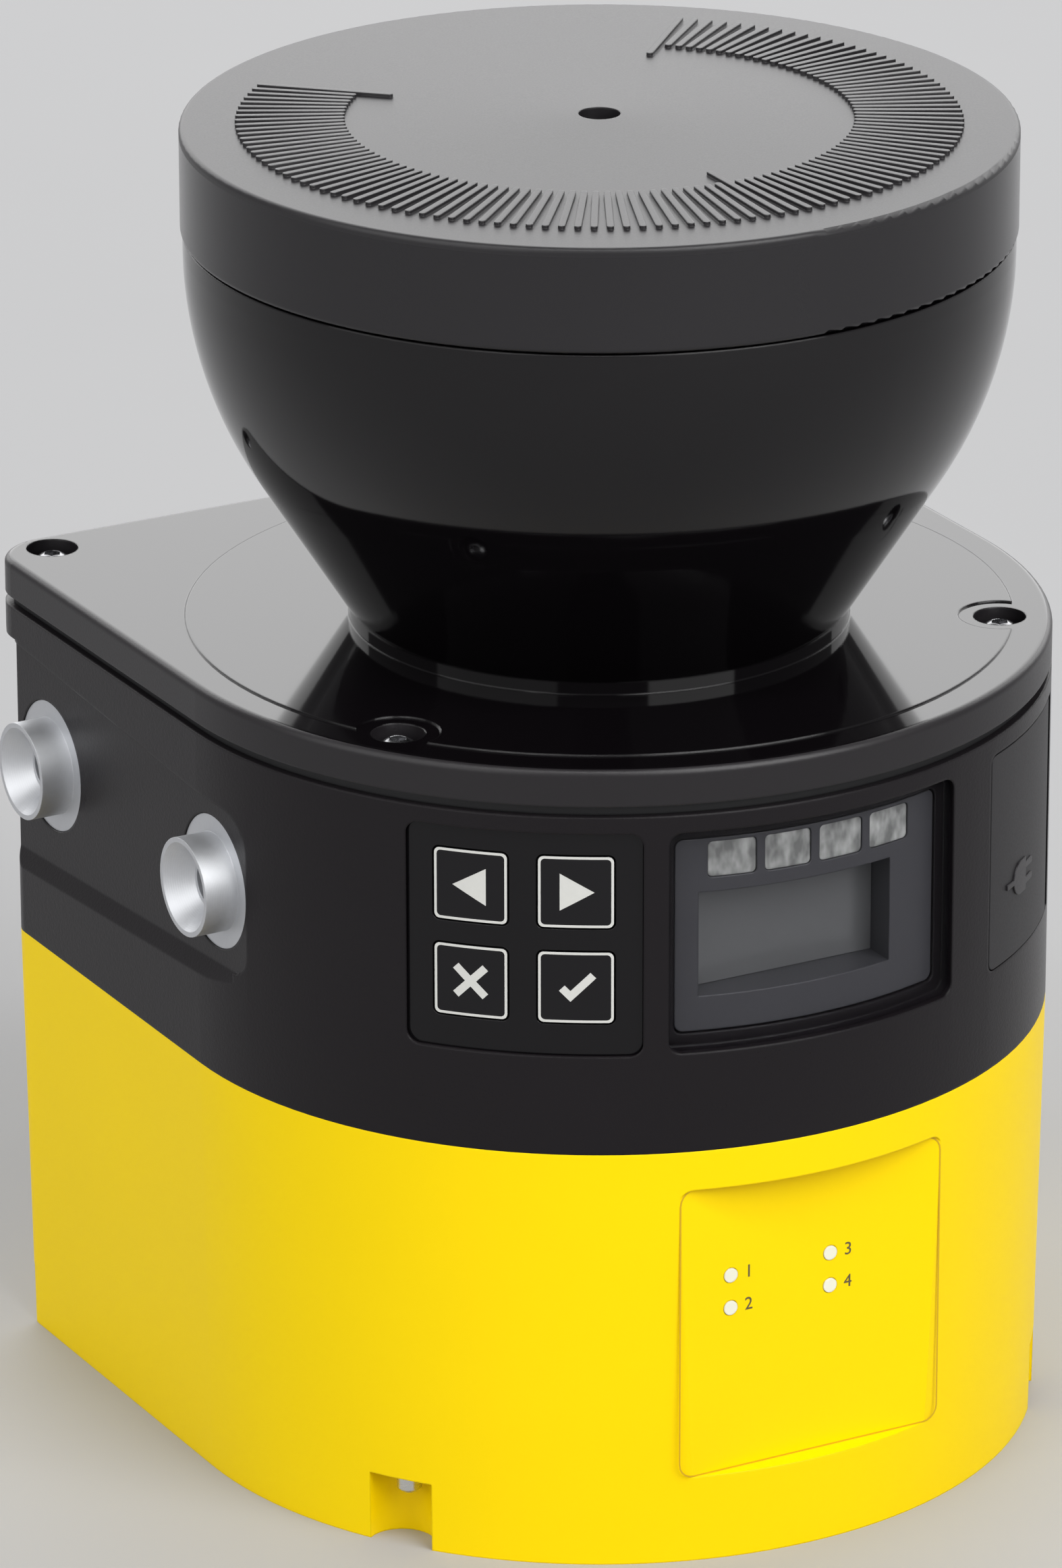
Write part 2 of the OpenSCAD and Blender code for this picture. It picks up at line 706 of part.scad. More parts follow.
module status_lenses() {
    color("#dfe6e2", 0.6) for (a = lens_az)
        radial_block(a, lens_z, lens_w, lens_h, 0.6, frame_r1 - 3, frame_r1 - 0.2);
}

// It stands on the housing's posts and reaches up to the deck
module display_board() {
    bottom = display_post_z - 2;
    back_y = display_board_y + board_t - fit;
    color("#1c5c3a") {
        translate([-19, display_board_y, bottom]) cube([38, board_t, deck_z - bottom]);
        translate([-12, back_y, front_z - 9]) cube([24, 3, 5]);
        translate([-6, back_y, front_z]) cube([12, 1.4, 8]);
    }
}

module usb_cover() {
    color("#232126") {
        difference() {
            radial_block(flap_az, front_z, flap_w, flap_h, 1, body_r - flap_t, body_r);
            // The edge by the hinge gives way to the round knuckle
            translate([hinge_xy.x, hinge_xy.y, front_z - flap_h]) rotate([0, 0, hinge_az])
                translate([-knuckle_r - hinge_cut, -flap_t, 0])
                    cube([4 * knuckle_r, 3 * flap_t, 2 * flap_h]);
        }
        translate([hinge_xy.x, hinge_xy.y, front_z - flap_h / 2]) {
            cylinder(r = knuckle_r, h = flap_h);
            rotate([0, 0, hinge_az]) translate([-knuckle_r - 2 * hinge_cut, -0.5 * knuckle_r, 0.1])
                cube([knuckle_r + 2 * hinge_cut, 1.3 * knuckle_r, flap_h - 0.2]);
        }
        // Stopper that fills the socket's mouth
        radial_block(flap_az, usb_z, plug_w, plug_h, 1, body_r - flap_t - plug_depth, body_r - 1);
    }
}

module usb_socket() {
    shell_w = 7.7;
    shell_h = 3.9;
    t = 0.3;
    color("#b9bcc0") rotate([0, 0, flap_az]) translate([0, -socket_r, usb_z]) {
        difference() {
            translate([-shell_w / 2 - t, 0, -shell_h / 2 - t])
                cube([shell_w + 2 * t, socket_depth + sink, shell_h + 2 * t]);
            translate([-shell_w / 2, -eps, -shell_h / 2])
                cube([shell_w, socket_depth - 1, shell_h]);
        }
        translate([-shell_w / 2 + 1.2, 1, -0.6]) cube([shell_w - 2.4, socket_depth - 1, 1.2]);
        // Board that carries the socket
        translate([-8, socket_depth, -8]) cube([16, board_t, 16]);
    }
}

// ---------------------------------------------------------------- base

// The seal between the housings, with an eye round each front case screw
module base_gasket() {
    color("#101012") difference() {
        gasket_ring(0);
        for (s = [-1, 1]) at_azimuth(s * notch_az, case_screw_r) translate([0, 0, parting_z - 2])
            cylinder(d = case_screw_d + 4 * fit, h = 4);
    }
}

module gasket_ring(gap) {
    outside = seal_out + gap;
    inside = seal_out - seal_w - gap;
    difference() {
        d_plate(body_r - wall + outside, body_back - wall + outside, 2 + gap, seal_z, seal_h);
        d_plate(body_r - wall + inside, body_back - wall + inside, 1, seal_z - 1, seal_h + 2);
    }
    for (s = [-1, 1]) at_azimuth(s * notch_az, case_screw_r) translate([0, 0, seal_z - gap])
        cylinder(r = case_screw_d / 2 + seal_eye + gap, h = seal_h + 2 * gap);
}

module notch_cut() {
    at_azimuth(notch_az, body_r - draft - 0.3) translate([0, 0, -1]) {
        cylinder(r = notch_r, h = notch_h + 1);
        translate([-notch_r, -notch_r, 0]) cube([2 * notch_r, notch_r, notch_h + 1]);
    }
}

module base_housing() {
    ceiling_t = 2.5;
    notch_boss_r = 6.4;
    color("#f2c200") difference() {
        union() {
            difference() {
                round_d(body_r, body_back, body_corner)
                    polygon([[0, 0], [$reach - draft, 0], [$reach, base_h], [0, base_h]]);
                d_plate(body_r - draft - wall, body_back - draft - wall, 1.2, -1, base_h + 2);
            }
            intersection() {
                round_d(body_r - 0.2, body_back - 0.2, body_corner)
                    polygon([[0, 0], [$reach - draft, 0], [$reach, base_h], [0, base_h]]);
                union() {
                    // Walls behind the notches and bosses over them
                    for (s = [-1, 1]) at_azimuth(s * notch_az, body_r - draft - 0.3) {
                        cylinder(r = notch_boss_r, h = notch_h + ceiling_t);
                        translate([0, 2, 0]) cylinder(r = 4, h = base_h);
                    }
                    for (s = [-1, 1]) translate([s * rear_screw_spot.x, rear_screw_spot.y, 0])
                        cylinder(r = rear_boss_r, h = base_h);
                    // Bosses of the floor's screws, each with a web to the wall
                    for (p = floor_spots()) {
                        out = p.y < 0 ? p / norm(p) : [sign(p.x), 0];
                        translate([p.x, p.y, floor_t]) {
                            cylinder(r = floor_boss_r, h = floor_boss_h);
                            rotate([0, 0, atan2(out.y, out.x)]) translate([0, -1.2, 0])
                                cube([body_r - 1.5 - out * [p.x, p.y], 2.4, floor_boss_h]);
                        }
                    }
                    // Backing of the status field
                    translate([-field_half_w - 2, field_y, field_z0 - 2])
                        cube([2 * field_half_w + 4, wall, field_h + 4]);
                    // Back wall of the connector bay and its rim
                    translate([-bay_w / 2 - wall, bay_floor_y - wall, bay_z0 - wall])
                        cube([bay_w + 2 * wall, bay_depth + wall, bay_h + 2 * wall]);
                    // Heel wall behind the step
                    translate([-body_r + 4, body_back - heel_in - wall - draft, 0])
                        cube([body_w - 8, heel_in + wall, heel_h + heel_in + 1]);
                }
            }
        }
        // Flat status field and the holes of the link lenses
        translate([0, field_y + eps, field_z0 + field_h / 2]) rotate([90, 0, 0])
            linear_extrude(10) rounded_rect(2 * field_half_w, field_h, 2);
        for (p = link_spots) translate([p.x, field_y + wall + 1, p.y]) rotate([90, 0, 0])
            cylinder(d = link_lens_d, h = wall + 2);
        for (s = [0, 1]) mirror([s, 0, 0]) notch_cut();
        // Connector bay and the seat of its plate
        translate([0, body_back + 2, connector_z]) rotate([90, 0, 0])
            linear_extrude(bay_depth + 2) rounded_rect(bay_w, bay_h, 3);
        translate([0, body_back, connector_z]) rotate([90, 0, 0])
            linear_extrude(bay_depth + wall + 2) rounded_rect(bay_w - 6, bay_h - 4, 3);
        // Step at the bottom of the back wall
        translate([-body_r - 1, 0, 0]) rotate([90, 0, 90]) linear_extrude(body_w + 2)
            polygon([
                [body_back - heel_in - draft, -1], [body_back + 1, -1],
                [body_back + 1, heel_h + 1], [body_back - heel_in - draft, heel_h - heel_in + 1]
            ]);
        gasket_ring(fit);
        for (s = [-1, 1]) {
            at_azimuth(s * notch_az, case_screw_r)
                cylinder(d = case_screw_d + 2 * fit, h = base_h + 1);
            translate([s * rear_screw_spot.x, rear_screw_spot.y, 12])
                cylinder(d = case_screw_d + 2 * fit, h = base_h);
        }
        for (p = floor_spots()) translate([p.x, p.y, floor_t - 1])
            cylinder(d = floor_screw_d + 2 * fit, h = floor_boss_h - 1);
    }
}

// Headless screw that stands on its lower end, with a socket for the key
module case_screw(z) {
    bevel = 0.4;
    translate([0, 0, z]) difference() {
        union() {
            cylinder(d1 = case_screw_d - 2 * bevel, d2 = case_screw_d, h = bevel);
            translate([0, 0, bevel]) cylinder(d = case_screw_d, h = parting_z + case_screw_grip - z
                - bevel);
        }
        translate([0, 0, -eps]) cylinder(d = 1.7, h = 1.5, $fn = 6);
    }
}

// They join the housings. The front ones show in the notches.
module case_screws() {
    tip = 2.3;
    color("#b4b8bc") {
        for (s = [-1, 1]) at_azimuth(s * notch_az, case_screw_r) case_screw(notch_h - tip);
        for (s = [-1, 1]) translate([s * rear_screw_spot.x, rear_screw_spot.y, 0]) case_screw(14);
    }
}

module link_lenses() {
    color("#f0efe6") for (p = link_spots) translate([p.x, field_y - 0.1, p.y])
        rotate([-90, 0, 0]) cylinder(d = link_lens_d - 2 * fit, h = wall + 1.1);
}

function floor_spots() = [
    [-30, -30], [30, -30], [-(body_r - 12), 22], [body_r - 12, 22]
];

module base_floor() {
    half_w = body_r - draft - wall - fit;
    back = body_back - heel_in - draft - wall - fit;
    color("#2a2a2c") difference() {
        d_plate(half_w, back, 2, 0, floor_t);
        for (s = [-1, 1]) at_azimuth(s * notch_az, body_r - draft - 0.3)
            translate([0, 0, -1]) cylinder(r = 6.4 + fit, h = 5);
        for (p = floor_spots()) translate([p.x, p.y, 0]) {
            translate([0, 0, -1]) cylinder(d = 2.9, h = 5);
            translate([0, 0, -eps]) cylinder(d1 = 6, d2 = 2.9, h = 1.6);
        }
        // Corners that pass the rear screw bosses
        for (s = [-1, 1]) translate([s * rear_screw_spot.x, rear_screw_spot.y, -1])
            cylinder(r = rear_boss_r + fit, h = 5);
    }
}

module floor_screws() {
    color("#8d9093") for (p = floor_spots()) translate([p.x, p.y, 0.1]) difference() {
        union() {
            cylinder(d1 = 5.6, d2 = floor_screw_d, h = 1.5);
            cylinder(d = floor_screw_d, h = 8);
        }
        translate([0, 0, -eps]) cylinder(d = 2, h = 0.8, $fn = 6);
    }
}

module connector_plate() {
    color("#2b2b2e") difference() {
        translate([0, bay_floor_y + plate_t, connector_z]) rotate([90, 0, 0])
            linear_extrude(plate_t) rounded_rect(bay_w - 2 * panel_gap, bay_h - 2 * panel_gap, 3);
        for (k = [-1:1]) translate([k * connector_pitch, bay_floor_y + plate_t + 1, connector_z])
            rotate([90, 0, 0]) cylinder(d = connector_d + 0.4, h = plate_t + 2);
        translate([earth_spot.x, bay_floor_y + plate_t + 1, earth_spot.y])
            rotate([90, 0, 0]) cylinder(d = 3.4, h = plate_t + 2);
    }
}

// Round connector body along +Y, with its nut resting on the plate
module connector_shell(bore_d) {
    nut_t = 2;
    nut_r = 8.2;
    difference() {
        union() {
            translate([0, bay_floor_y - 5, connector_z]) rotate([-90, 0, 0])
                cylinder(d = connector_d, h = 5 + connector_len);
            translate([0, bay_floor_y + plate_t, connector_z]) rotate([-90, 0, 0])
                cylinder(r = nut_r, h = nut_t, $fn = 6);
        }
        translate([0, bay_floor_y + connector_len - 7, connector_z]) rotate([-90, 0, 0])
            cylinder(d = bore_d, h = 9);
    }
}

module pins(r, count, len, y0) {
    for (i = [0:count - 1]) translate([r * cos(i * 360 / count), y0, connector_z
        + r * sin(i * 360 / count)]) rotate([-90, 0, 0]) cylinder(d = 1, h = len, $fn = 24);
}

module power_connector() {
    color("#a9adb0") translate([-connector_pitch, 0, 0]) {
        connector_shell(9);
        pins(2.8, 7, 6, bay_floor_y + connector_len - 7 - sink);
        pins(0, 1, 6, bay_floor_y + connector_len - 7 - sink);
    }
}

module network_connectors() {
    insert_d = 8;
    y1 = bay_floor_y + connector_len - 0.8;
    color("#a9adb0") for (k = [0, 1]) translate([k * connector_pitch, 0, 0]) {
        connector_shell(10.6);
        difference() {
            translate([0, y1 - 7, connector_z]) rotate([-90, 0, 0]) cylinder(d = insert_d, h = 7);
            for (i = [0:3]) translate([2.2 * cos(i * 90 + 45), y1 - 4, connector_z
                + 2.2 * sin(i * 90 + 45)]) rotate([-90, 0, 0]) cylinder(d = 1.1, h = 6, $fn = 24);
        }
    }
}

module earth_screw() {
    color("#b8a36a") translate([earth_spot.x, bay_floor_y + plate_t, earth_spot.y])
        rotate([-90, 0, 0]) button_screw(5.5, 2, 3, 6, 2.2);
}

// ---------------------------------------------------------------- drive and optics

// Deck inside the upper housing that carries the motor and the optics bracket
module chassis() {
    color("#8f9396") difference() {
        d_plate(body_r - wall - 3, body_back - wall - 3, 3, deck_z, deck_t);
        translate([0, 0, deck_z - 1]) cylinder(r = bearing_r + 1.5 + fit, h = deck_t + 2);
        for (p = post_spots) translate([p.x, p.y, deck_z - 1]) cylinder(r = anchor_r + fit, h = 9);
        // Clear of the screw bosses and the backing of the collars and panels
        for (p = screw_spots) translate([p.x, p.y, deck_z - 1]) cylinder(r = 5, h = deck_t + 2);
        translate([-22, -body_r, deck_z - 1]) cube([44, 13, deck_t + 2]);
        for (a = [keypad_az, flap_az]) radial_block(a, deck_z, 30, 20, 1, body_r - 9, body_r);
        for (s = [-1, 1]) translate([s * (body_r - 9) - 5, -14, deck_z - 1])
            cube([10, 62, deck_t + 2]);
    }
}

module chassis_posts() {
    color("#c2a24a") for (p = post_spots) translate([p.x, p.y, 0]) {
        translate([0, 0, floor_t]) difference() {
            cylinder(r = post_r, h = power_board_z - floor_t, $fn = 6);
            translate([0, 0, -eps]) cylinder(r = 1, h = 4);
        }
        translate([0, 0, power_board_z + board_t])
            cylinder(r = post_r, h = main_board_z - power_board_z - board_t, $fn = 6);
        translate([0, 0, main_board_z + board_t])
            cylinder(r = post_r, h = deck_z - main_board_z - board_t, $fn = 6);
        translate([0, 0, power_board_z - 3])
            cylinder(r = anchor_r, h = deck_z + deck_t + 1 - power_board_z + 3);
    }
}

module motor_housing() {
    z0 = deck_z - motor_h;
    color("#a3a7aa") difference() {
        union() {
            translate([0, 0, deck_z - 2]) cylinder(r = motor_r, h = 2);
            translate([0, 0, z0]) cylinder(r = bearing_r + 1.5, h = motor_h + deck_t);
        }
        translate([0, 0, z0 - eps]) cylinder(r = bearing_r, h = bearing_t + eps);
        translate([0, 0, deck_z + deck_t - bearing_t]) cylinder(r = bearing_r, h = bearing_t + 1);
        translate([0, 0, z0 - 1]) cylinder(r = shaft_r + 1, h = motor_h + deck_t + 2);
    }
}

module bearing() {
    ball_r = 1.1;
    race = (bearing_r + shaft_r) / 2;
    difference() {
        cylinder(r = bearing_r, h = bearing_t);
        translate([0, 0, -eps]) cylinder(r = shaft_r + 0.03, h = bearing_t + 2 * eps);
        for (z = [-eps, bearing_t - 0.5]) translate([0, 0, z]) difference() {
            cylinder(r = race + ball_r, h = 0.5 + eps);
            translate([0, 0, -eps]) cylinder(r = race - ball_r, h = 1);
        }
    }
}

module bearings() {
    color("#d5d7d9") for (z = [deck_z - motor_h, deck_z + deck_t - bearing_t])
        translate([0, 0, z]) bearing();
}

// Laminated core with nine teeth, pressed round the bearing tube
module stator_core() {
    teeth = 9;
    tooth_len = 5;
    core_h = 8;
    inner = bearing_r + 1.5;
    color("#6b6f72") translate([0, 0, deck_z - 2 - 2 - core_h]) linear_extrude(core_h) difference() {
        union() {
            circle(inner + 2);
            for (i = [0:teeth - 1]) rotate(i * 360 / teeth) {
                translate([inner, -1]) square([tooth_len, 2]);
                translate([inner + tooth_len - 1.2, -2.4]) square([1.2, 4.8]);
            }
        }
        circle(inner);
    }
}

// Cup with the ring magnet that turns round the core, fixed to the shaft below the motor
module rotor_magnet() {
    inner = bearing_r + 1.5 + 5 + 1;
    z0 = deck_z - motor_h - 2.5;
    color("#4b4d52") difference() {
        translate([0, 0, z0]) cylinder(r = inner + 2.4, h = 15);
        translate([0, 0, z0 + 1.5]) cylinder(r = inner, h = 15);
        translate([0, 0, z0 - 1]) cylinder(r = shaft_r, h = 4);
        for (i = [0:5]) rotate([0, 0, i * 60]) translate([10.5, 0, z0 - 1]) cylinder(r = 2.4, h = 3);
    }
}

module rotor_shaft() {
    z0 = deck_z - motor_h - 4;
    color("#dcdfe1") translate([0, 0, z0]) cylinder(r = shaft_r, h = carrier_z0 + 9 - z0);
}

module encoder_disc() {
    slot_in = disc_r - 4;
    color("#33363a") difference() {
        translate([0, 0, disc_z]) cylinder(r = disc_r, h = disc_t);
        translate([0, 0, disc_z - 1]) cylinder(r = shaft_r, h = disc_t + 2);
        for (i = [0:encoder_slots - 1]) rotate([0, 0, i * 360 / encoder_slots])
            translate([slot_in, -0.8, disc_z - 1]) cube([2.8, 1.6, disc_t + 2]);
    }
}

module encoder_sensor() {
    color("#202225") translate([disc_r - 5, -4, deck_z + deck_t - 0.8]) difference() {
        translate([0, 0, 0.8]) cube([10, 8, carrier_z0 - 0.4 - deck_z - deck_t]);
        translate([-1, -1, disc_z - deck_z - deck_t + 0.8 - 0.5]) cube([7, 10, disc_t + 1]);
    }
}

// Cylinder cut off at 45 degrees, hollow under the mirror, with a hub on the shaft
module mirror_carrier() {
    r = mirror_r;
    floor_h = 2.4;
    face = 2.2;
    // Half space above the mirror's plane, moved down along its normal by a depth
    module above(depth) {
        translate([0, 0, scan_level]) rotate([45, 0, 0]) translate([-60, -60, -depth])
            cube([120, 120, 80]);
    }
    color("#2e3034") {
        difference() {
            translate([0, 0, carrier_z0]) cylinder(r = r, h = scan_level + r - carrier_z0);
            above(face - 1);
            difference() {
                translate([0, 0, carrier_z0 + floor_h])
                    cylinder(r = r - carrier_wall, h = scan_level + r - carrier_z0);
                above(face + 2);
            }
            translate([0, 0, carrier_z0 - 1]) cylinder(r = shaft_r, h = 12);
        }
        translate([0, 0, carrier_z0]) difference() {
            cylinder(r = shaft_r + 2.5, h = 9);
            translate([0, 0, -1]) cylinder(r = shaft_r, h = 11);
        }
    }
}

module scan_mirror() {
    t = 1.2;
    color("#cfd6dc") intersection() {
        translate([0, 0, flange_z]) cylinder(r = mirror_r - 0.6, h = 70);
        translate([0, 0, scan_level]) rotate([45, 0, 0]) translate([-60, -60, -1.2])
            cube([120, 120, t]);
    }
}

// Pillar behind the mirror, in the sector that the scanner doesn't see, and the shelf on it
module optics_bracket() {
    color("#7d8184") difference() {
        union() {
            translate([-pillar_w / 2, pillar_y, deck_z + deck_t])
                cube([pillar_w, pillar_t, shelf_z + shelf_t - deck_z - deck_t]);
            translate([0, 0, shelf_z]) cylinder(r = 40, h = shelf_t);
        }
        translate([0, 0, shelf_z - 1]) cylinder(r = lens_r + barrel_wall + fit, h = shelf_t + 2);
        for (a = [-60, 60, 180]) rotate([0, 0, a]) translate([0, -board_post_at, shelf_z - 1])
            cylinder(r = anchor_r + fit, h = shelf_t + 2);
        // Lightening windows in the shelf
        for (a = [-120, 0, 120]) rotate([0, 0, a]) translate([0, -31, shelf_z - 1])
            linear_extrude(shelf_t + 2) rounded_rect(22, 7, 3);
    }
}

module lens_barrel() {
    color("#232528") difference() {
        union() {
            translate([0, 0, shelf_z - 1]) cylinder(r = lens_r + barrel_wall, h = barrel_h + 1);
            translate([0, 0, shelf_z + shelf_t]) cylinder(r = lens_r + 3.4, h = 1.6);
        }
        translate([0, 0, shelf_z - 2]) cylinder(r = lens_r - 1.2, h = barrel_h + 3);
        translate([0, 0, shelf_z]) cylinder(r = lens_r, h = barrel_h + 1);
    }
}

// Plano-convex lens, flat side up, bored for the laser
module receiver_lens() {
    edge_t = 2;
    bulge = 3.2;
    sphere_r = (lens_r * lens_r + bulge * bulge) / (2 * bulge);
    color("#9aa7b5", 0.7) translate([0, 0, shelf_z]) difference() {
        intersection() {
            cylinder(r = lens_r - fit, h = edge_t + bulge);
            translate([0, 0, edge_t + bulge - sphere_r]) sphere(sphere_r, $fn = 180);
        }
        translate([0, 0, -1]) cylinder(r = laser_r, h = 10);
    }
}

module laser_module() {
    color("#c7a04e") translate([0, 0, shelf_z - 3]) {
        difference() {
            cylinder(r = laser_r - fit, h = sensor_board_z - shelf_z + 3);
            translate([0, 0, -eps]) cylinder(r = 2.6, h = 3);
        }
        translate([0, 0, 1]) cylinder(r = 2.7, h = 1.2);
    }
}

// Three stand-offs between the shelf and the receiver board
module board_posts() {
    color("#c2a24a") for (a = [-60, 60, 180]) rotate([0, 0, a])
        translate([0, -board_post_at, 0]) {
            translate([0, 0, shelf_z + shelf_t])
                cylinder(r = 2.2, h = sensor_board_z - shelf_z - shelf_t);
            translate([0, 0, shelf_z - 0.5])
                cylinder(r = anchor_r, h = sensor_board_z + board_t + 0.5 - shelf_z + 0.5);
        }
}

module receiver_board() {
    color("#1c5c3a") {
        translate([0, 0, sensor_board_z]) difference() {
            cylinder(r = 30, h = board_t);
            for (a = [-60, 60, 180]) rotate([0, 0, a]) translate([0, -board_post_at, -1])
                cylinder(r = anchor_r + fit, h = board_t + 2);
        }
        translate([-9, 8, sensor_board_z + board_t - fit]) cube([18, 10, 1.2]);
        translate([-18, -16, sensor_board_z + board_t - fit]) cube([8, 8, 1]);
    }
}

module board_plan(half_w, back) {
    difference() {
        d_plan(half_w, back, 3);
        for (p = post_spots) translate([p.x, p.y]) circle(anchor_r + fit);
    }
}

module main_board() {
    color("#1c5c3a") {
        translate([0, 0, main_board_z]) linear_extrude(board_t) board_plan(42, 40);
        translate([-10, -10, main_board_z + board_t - fit]) cube([20, 20, 1.6]);
        translate([14, -24, main_board_z + board_t - fit]) cube([8, 12, 1.2]);
        translate([-22, 28, main_board_z + board_t - fit]) cube([44, 5, 4]);
    }
}

module power_board() {
    color("#1c5c3a") {
        translate([0, 0, power_board_z]) linear_extrude(board_t) board_plan(42, 36);
        for (x = [-16, 0, 16]) translate([x, 12, power_board_z + board_t - fit])
            cylinder(r = 4, h = 9);
        translate([-14, -24, power_board_z + board_t - fit]) cube([28, 14, 6]);
    }
}

head_cap();
optics_cover();
cover_gasket();
cover_screws();
housing();
mounting_collars();
keypad_panel();
key_left();
key_right();
key_back();
key_confirm();
key_board();
display_window();
display_module();
screen();
status_lenses();
display_board();
usb_cover();
usb_socket();
base_gasket();
base_housing();
case_screws();
link_lenses();
base_floor();
floor_screws();
connector_plate();
power_connector();
network_connectors();
earth_screw();
chassis();
chassis_posts();
motor_housing();
bearings();
stator_core();
rotor_magnet();
rotor_shaft();
encoder_disc();
encoder_sensor();
mirror_carrier();
scan_mirror();
optics_bracket();
lens_barrel();
receiver_lens();
laser_module();
board_posts();
receiver_board();
main_board();
power_board();
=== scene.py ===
"""Looks of a safety laser scanner: finishes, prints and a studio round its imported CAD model."""

import json
import math

import bmesh
import bpy
from mathutils import Matrix, Vector


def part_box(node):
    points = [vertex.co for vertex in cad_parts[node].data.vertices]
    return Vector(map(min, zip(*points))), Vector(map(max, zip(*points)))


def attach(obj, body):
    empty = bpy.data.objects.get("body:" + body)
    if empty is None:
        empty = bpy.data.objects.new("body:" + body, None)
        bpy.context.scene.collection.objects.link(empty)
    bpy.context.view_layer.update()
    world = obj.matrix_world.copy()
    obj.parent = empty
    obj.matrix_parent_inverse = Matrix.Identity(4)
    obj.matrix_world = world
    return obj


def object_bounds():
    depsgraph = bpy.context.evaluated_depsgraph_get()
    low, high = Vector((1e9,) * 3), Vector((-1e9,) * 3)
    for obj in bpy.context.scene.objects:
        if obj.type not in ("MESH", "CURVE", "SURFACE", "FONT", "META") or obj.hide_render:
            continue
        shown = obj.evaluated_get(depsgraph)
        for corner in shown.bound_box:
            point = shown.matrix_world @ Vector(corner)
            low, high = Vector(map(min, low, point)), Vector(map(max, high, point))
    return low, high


bl_info = {
    "name": "Safety laser scanner",
    "version": (1, 0, 0),
    "blender": (4, 5, 0),
    "location": "3D View > Sidebar > Scanner",
    "description": "Finishes, prints and a studio for a compact safety laser scanner",
    "category": "Object",
}

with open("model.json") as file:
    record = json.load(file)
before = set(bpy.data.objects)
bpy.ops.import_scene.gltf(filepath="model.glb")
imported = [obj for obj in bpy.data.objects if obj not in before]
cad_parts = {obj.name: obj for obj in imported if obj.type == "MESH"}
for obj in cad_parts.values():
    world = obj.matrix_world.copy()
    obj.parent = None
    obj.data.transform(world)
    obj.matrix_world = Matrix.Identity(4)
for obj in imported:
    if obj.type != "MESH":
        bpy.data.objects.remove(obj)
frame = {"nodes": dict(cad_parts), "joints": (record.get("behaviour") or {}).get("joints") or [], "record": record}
CAD_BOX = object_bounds()
NODES = frame["nodes"]
JOINTS = {joint["name"]: joint for joint in frame["joints"]}
SLOT_OF = {part["node"]: part["material_slot"] for part in frame["record"]["subparts"]}
BODY_OF = {node: body for body, nodes in frame["record"]["behaviour"]["bodies"].items()
           for node in nodes}

MM = 0.001
SAME_POINT = 0.001 * MM  # vertices closer than this are merged

# The part, as its CAD source draws it.
KEYS = ("key_left", "key_right", "key_back", "key_confirm")
LENS_RADIUS = 0.9 * MM
LENS_STAND = 0.1 * MM  # how far the lamps stand out of their flat field
FIELD_CORNER = 2 * MM
FLAT_TOLERANCE = 0.04 * MM  # how far the field's vertices may lie from its level
GLOSS_ABOVE = 0.6 * MM  # from the heads of the cover's screws up to where its gloss starts
CAP_TOP = 2 * MM  # from the top of the cap down to its band
POWER_INSERT, NETWORK_INSERT = 4.4 * MM, 4.1 * MM  # radii of the inserts in the connectors
CONTACT_DEPTH = 6.9 * MM  # from the power connector's mouth down to the tips of its contacts

# The prints.
STRIP = 0.4 * MM  # width of the strips that follow a round wall
CROSS_SHARE, TICK_SHARE = 0.86, 0.92  # heights of these signs, as shares of an arrow's
FLAP_MARK_TURN = math.radians(15)  # from the flap's hinge round to its sign
FLAP_MARK_SINK = 0.01 * MM  # depth of the sign's foot in the flap

# The threads.
THREAD_LEAD = 0.4 * MM  # plain length before a thread starts
THREAD_STEPS = 32  # straight pieces in one turn

# The studio, in metres, degrees and watts.
SENSOR = 36  # millimetres, the camera's width of picture
FLOOR_HALF = 6  # half the side of the floor
FAR_FROM, FAR_TO = 0.7, 2.6  # distances between which the floor fades into an even shade
SKY_LIGHT, SKY_SEEN = 0.5, 1.0  # strength of the surroundings as a light, and where they show
LAMPS = {  # azimuth from the front, elevation, distance, width, height, power
    "lamp_back": (152, 30, 1.6, 3.0, 1.5, 35),
    "lamp_front_right": (14, 38, 1.5, 1.1, 1.1, 21),
    "lamp_left": (-78, 30, 1.5, 1.6, 1.5, 13),
    "lamp_edges": (-20, 66, 1.5, 1.6, 0.14, 8),
}


# ---------------------------------------------------------------- places read from the frame

def reach(node):
    """Largest distance of a node from the dome's axis."""
    return max(math.hypot(v.co.x, v.co.y) for v in NODES[node].data.vertices)


def middle(node):
    """Middle of a node's box."""
    low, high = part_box(node)
    return (low + high) / 2


def azimuth_of(direction):
    """Direction counted from the front, in radians."""
    return math.atan2(direction[0], -direction[1])


def round_drum(azimuth, radius, z):
    """Wraps a flat print (u, v, w) round the dome's axis."""
    turn = Matrix.Rotation(azimuth, 3, "Z")

    def place(p):
        r = radius + p.z
        return turn @ Vector((p.x, -math.sqrt(r * r - p.x * p.x), 0)) + Vector((0, 0, z + p.y))

    return place


def on_front(x, y, z):
    """Sets a flat print (u, v, w) on a wall that faces the front."""
    return lambda p: Vector((x + p.x, y - p.z, z + p.y))


# ---------------------------------------------------------------- outlines of the prints

def arc(cx, cy, radius, start, end, steps=5):
    """Points of an arc, angles in degrees."""
    turns = [math.radians(start + (end - start) * i / steps) for i in range(steps + 1)]
    return [(cx + radius * math.cos(a), cy + radius * math.sin(a)) for a in turns]


def rounded_box(width, height, corner):
    """Rectangle with rounded corners, about the middle."""
    x, y = width / 2 - corner, height / 2 - corner
    return [point for cx, cy, start in ((x, y, 0), (-x, y, 90), (-x, -y, 180), (x, -y, 270))
            for point in arc(cx, cy, corner, start, start + 90)]


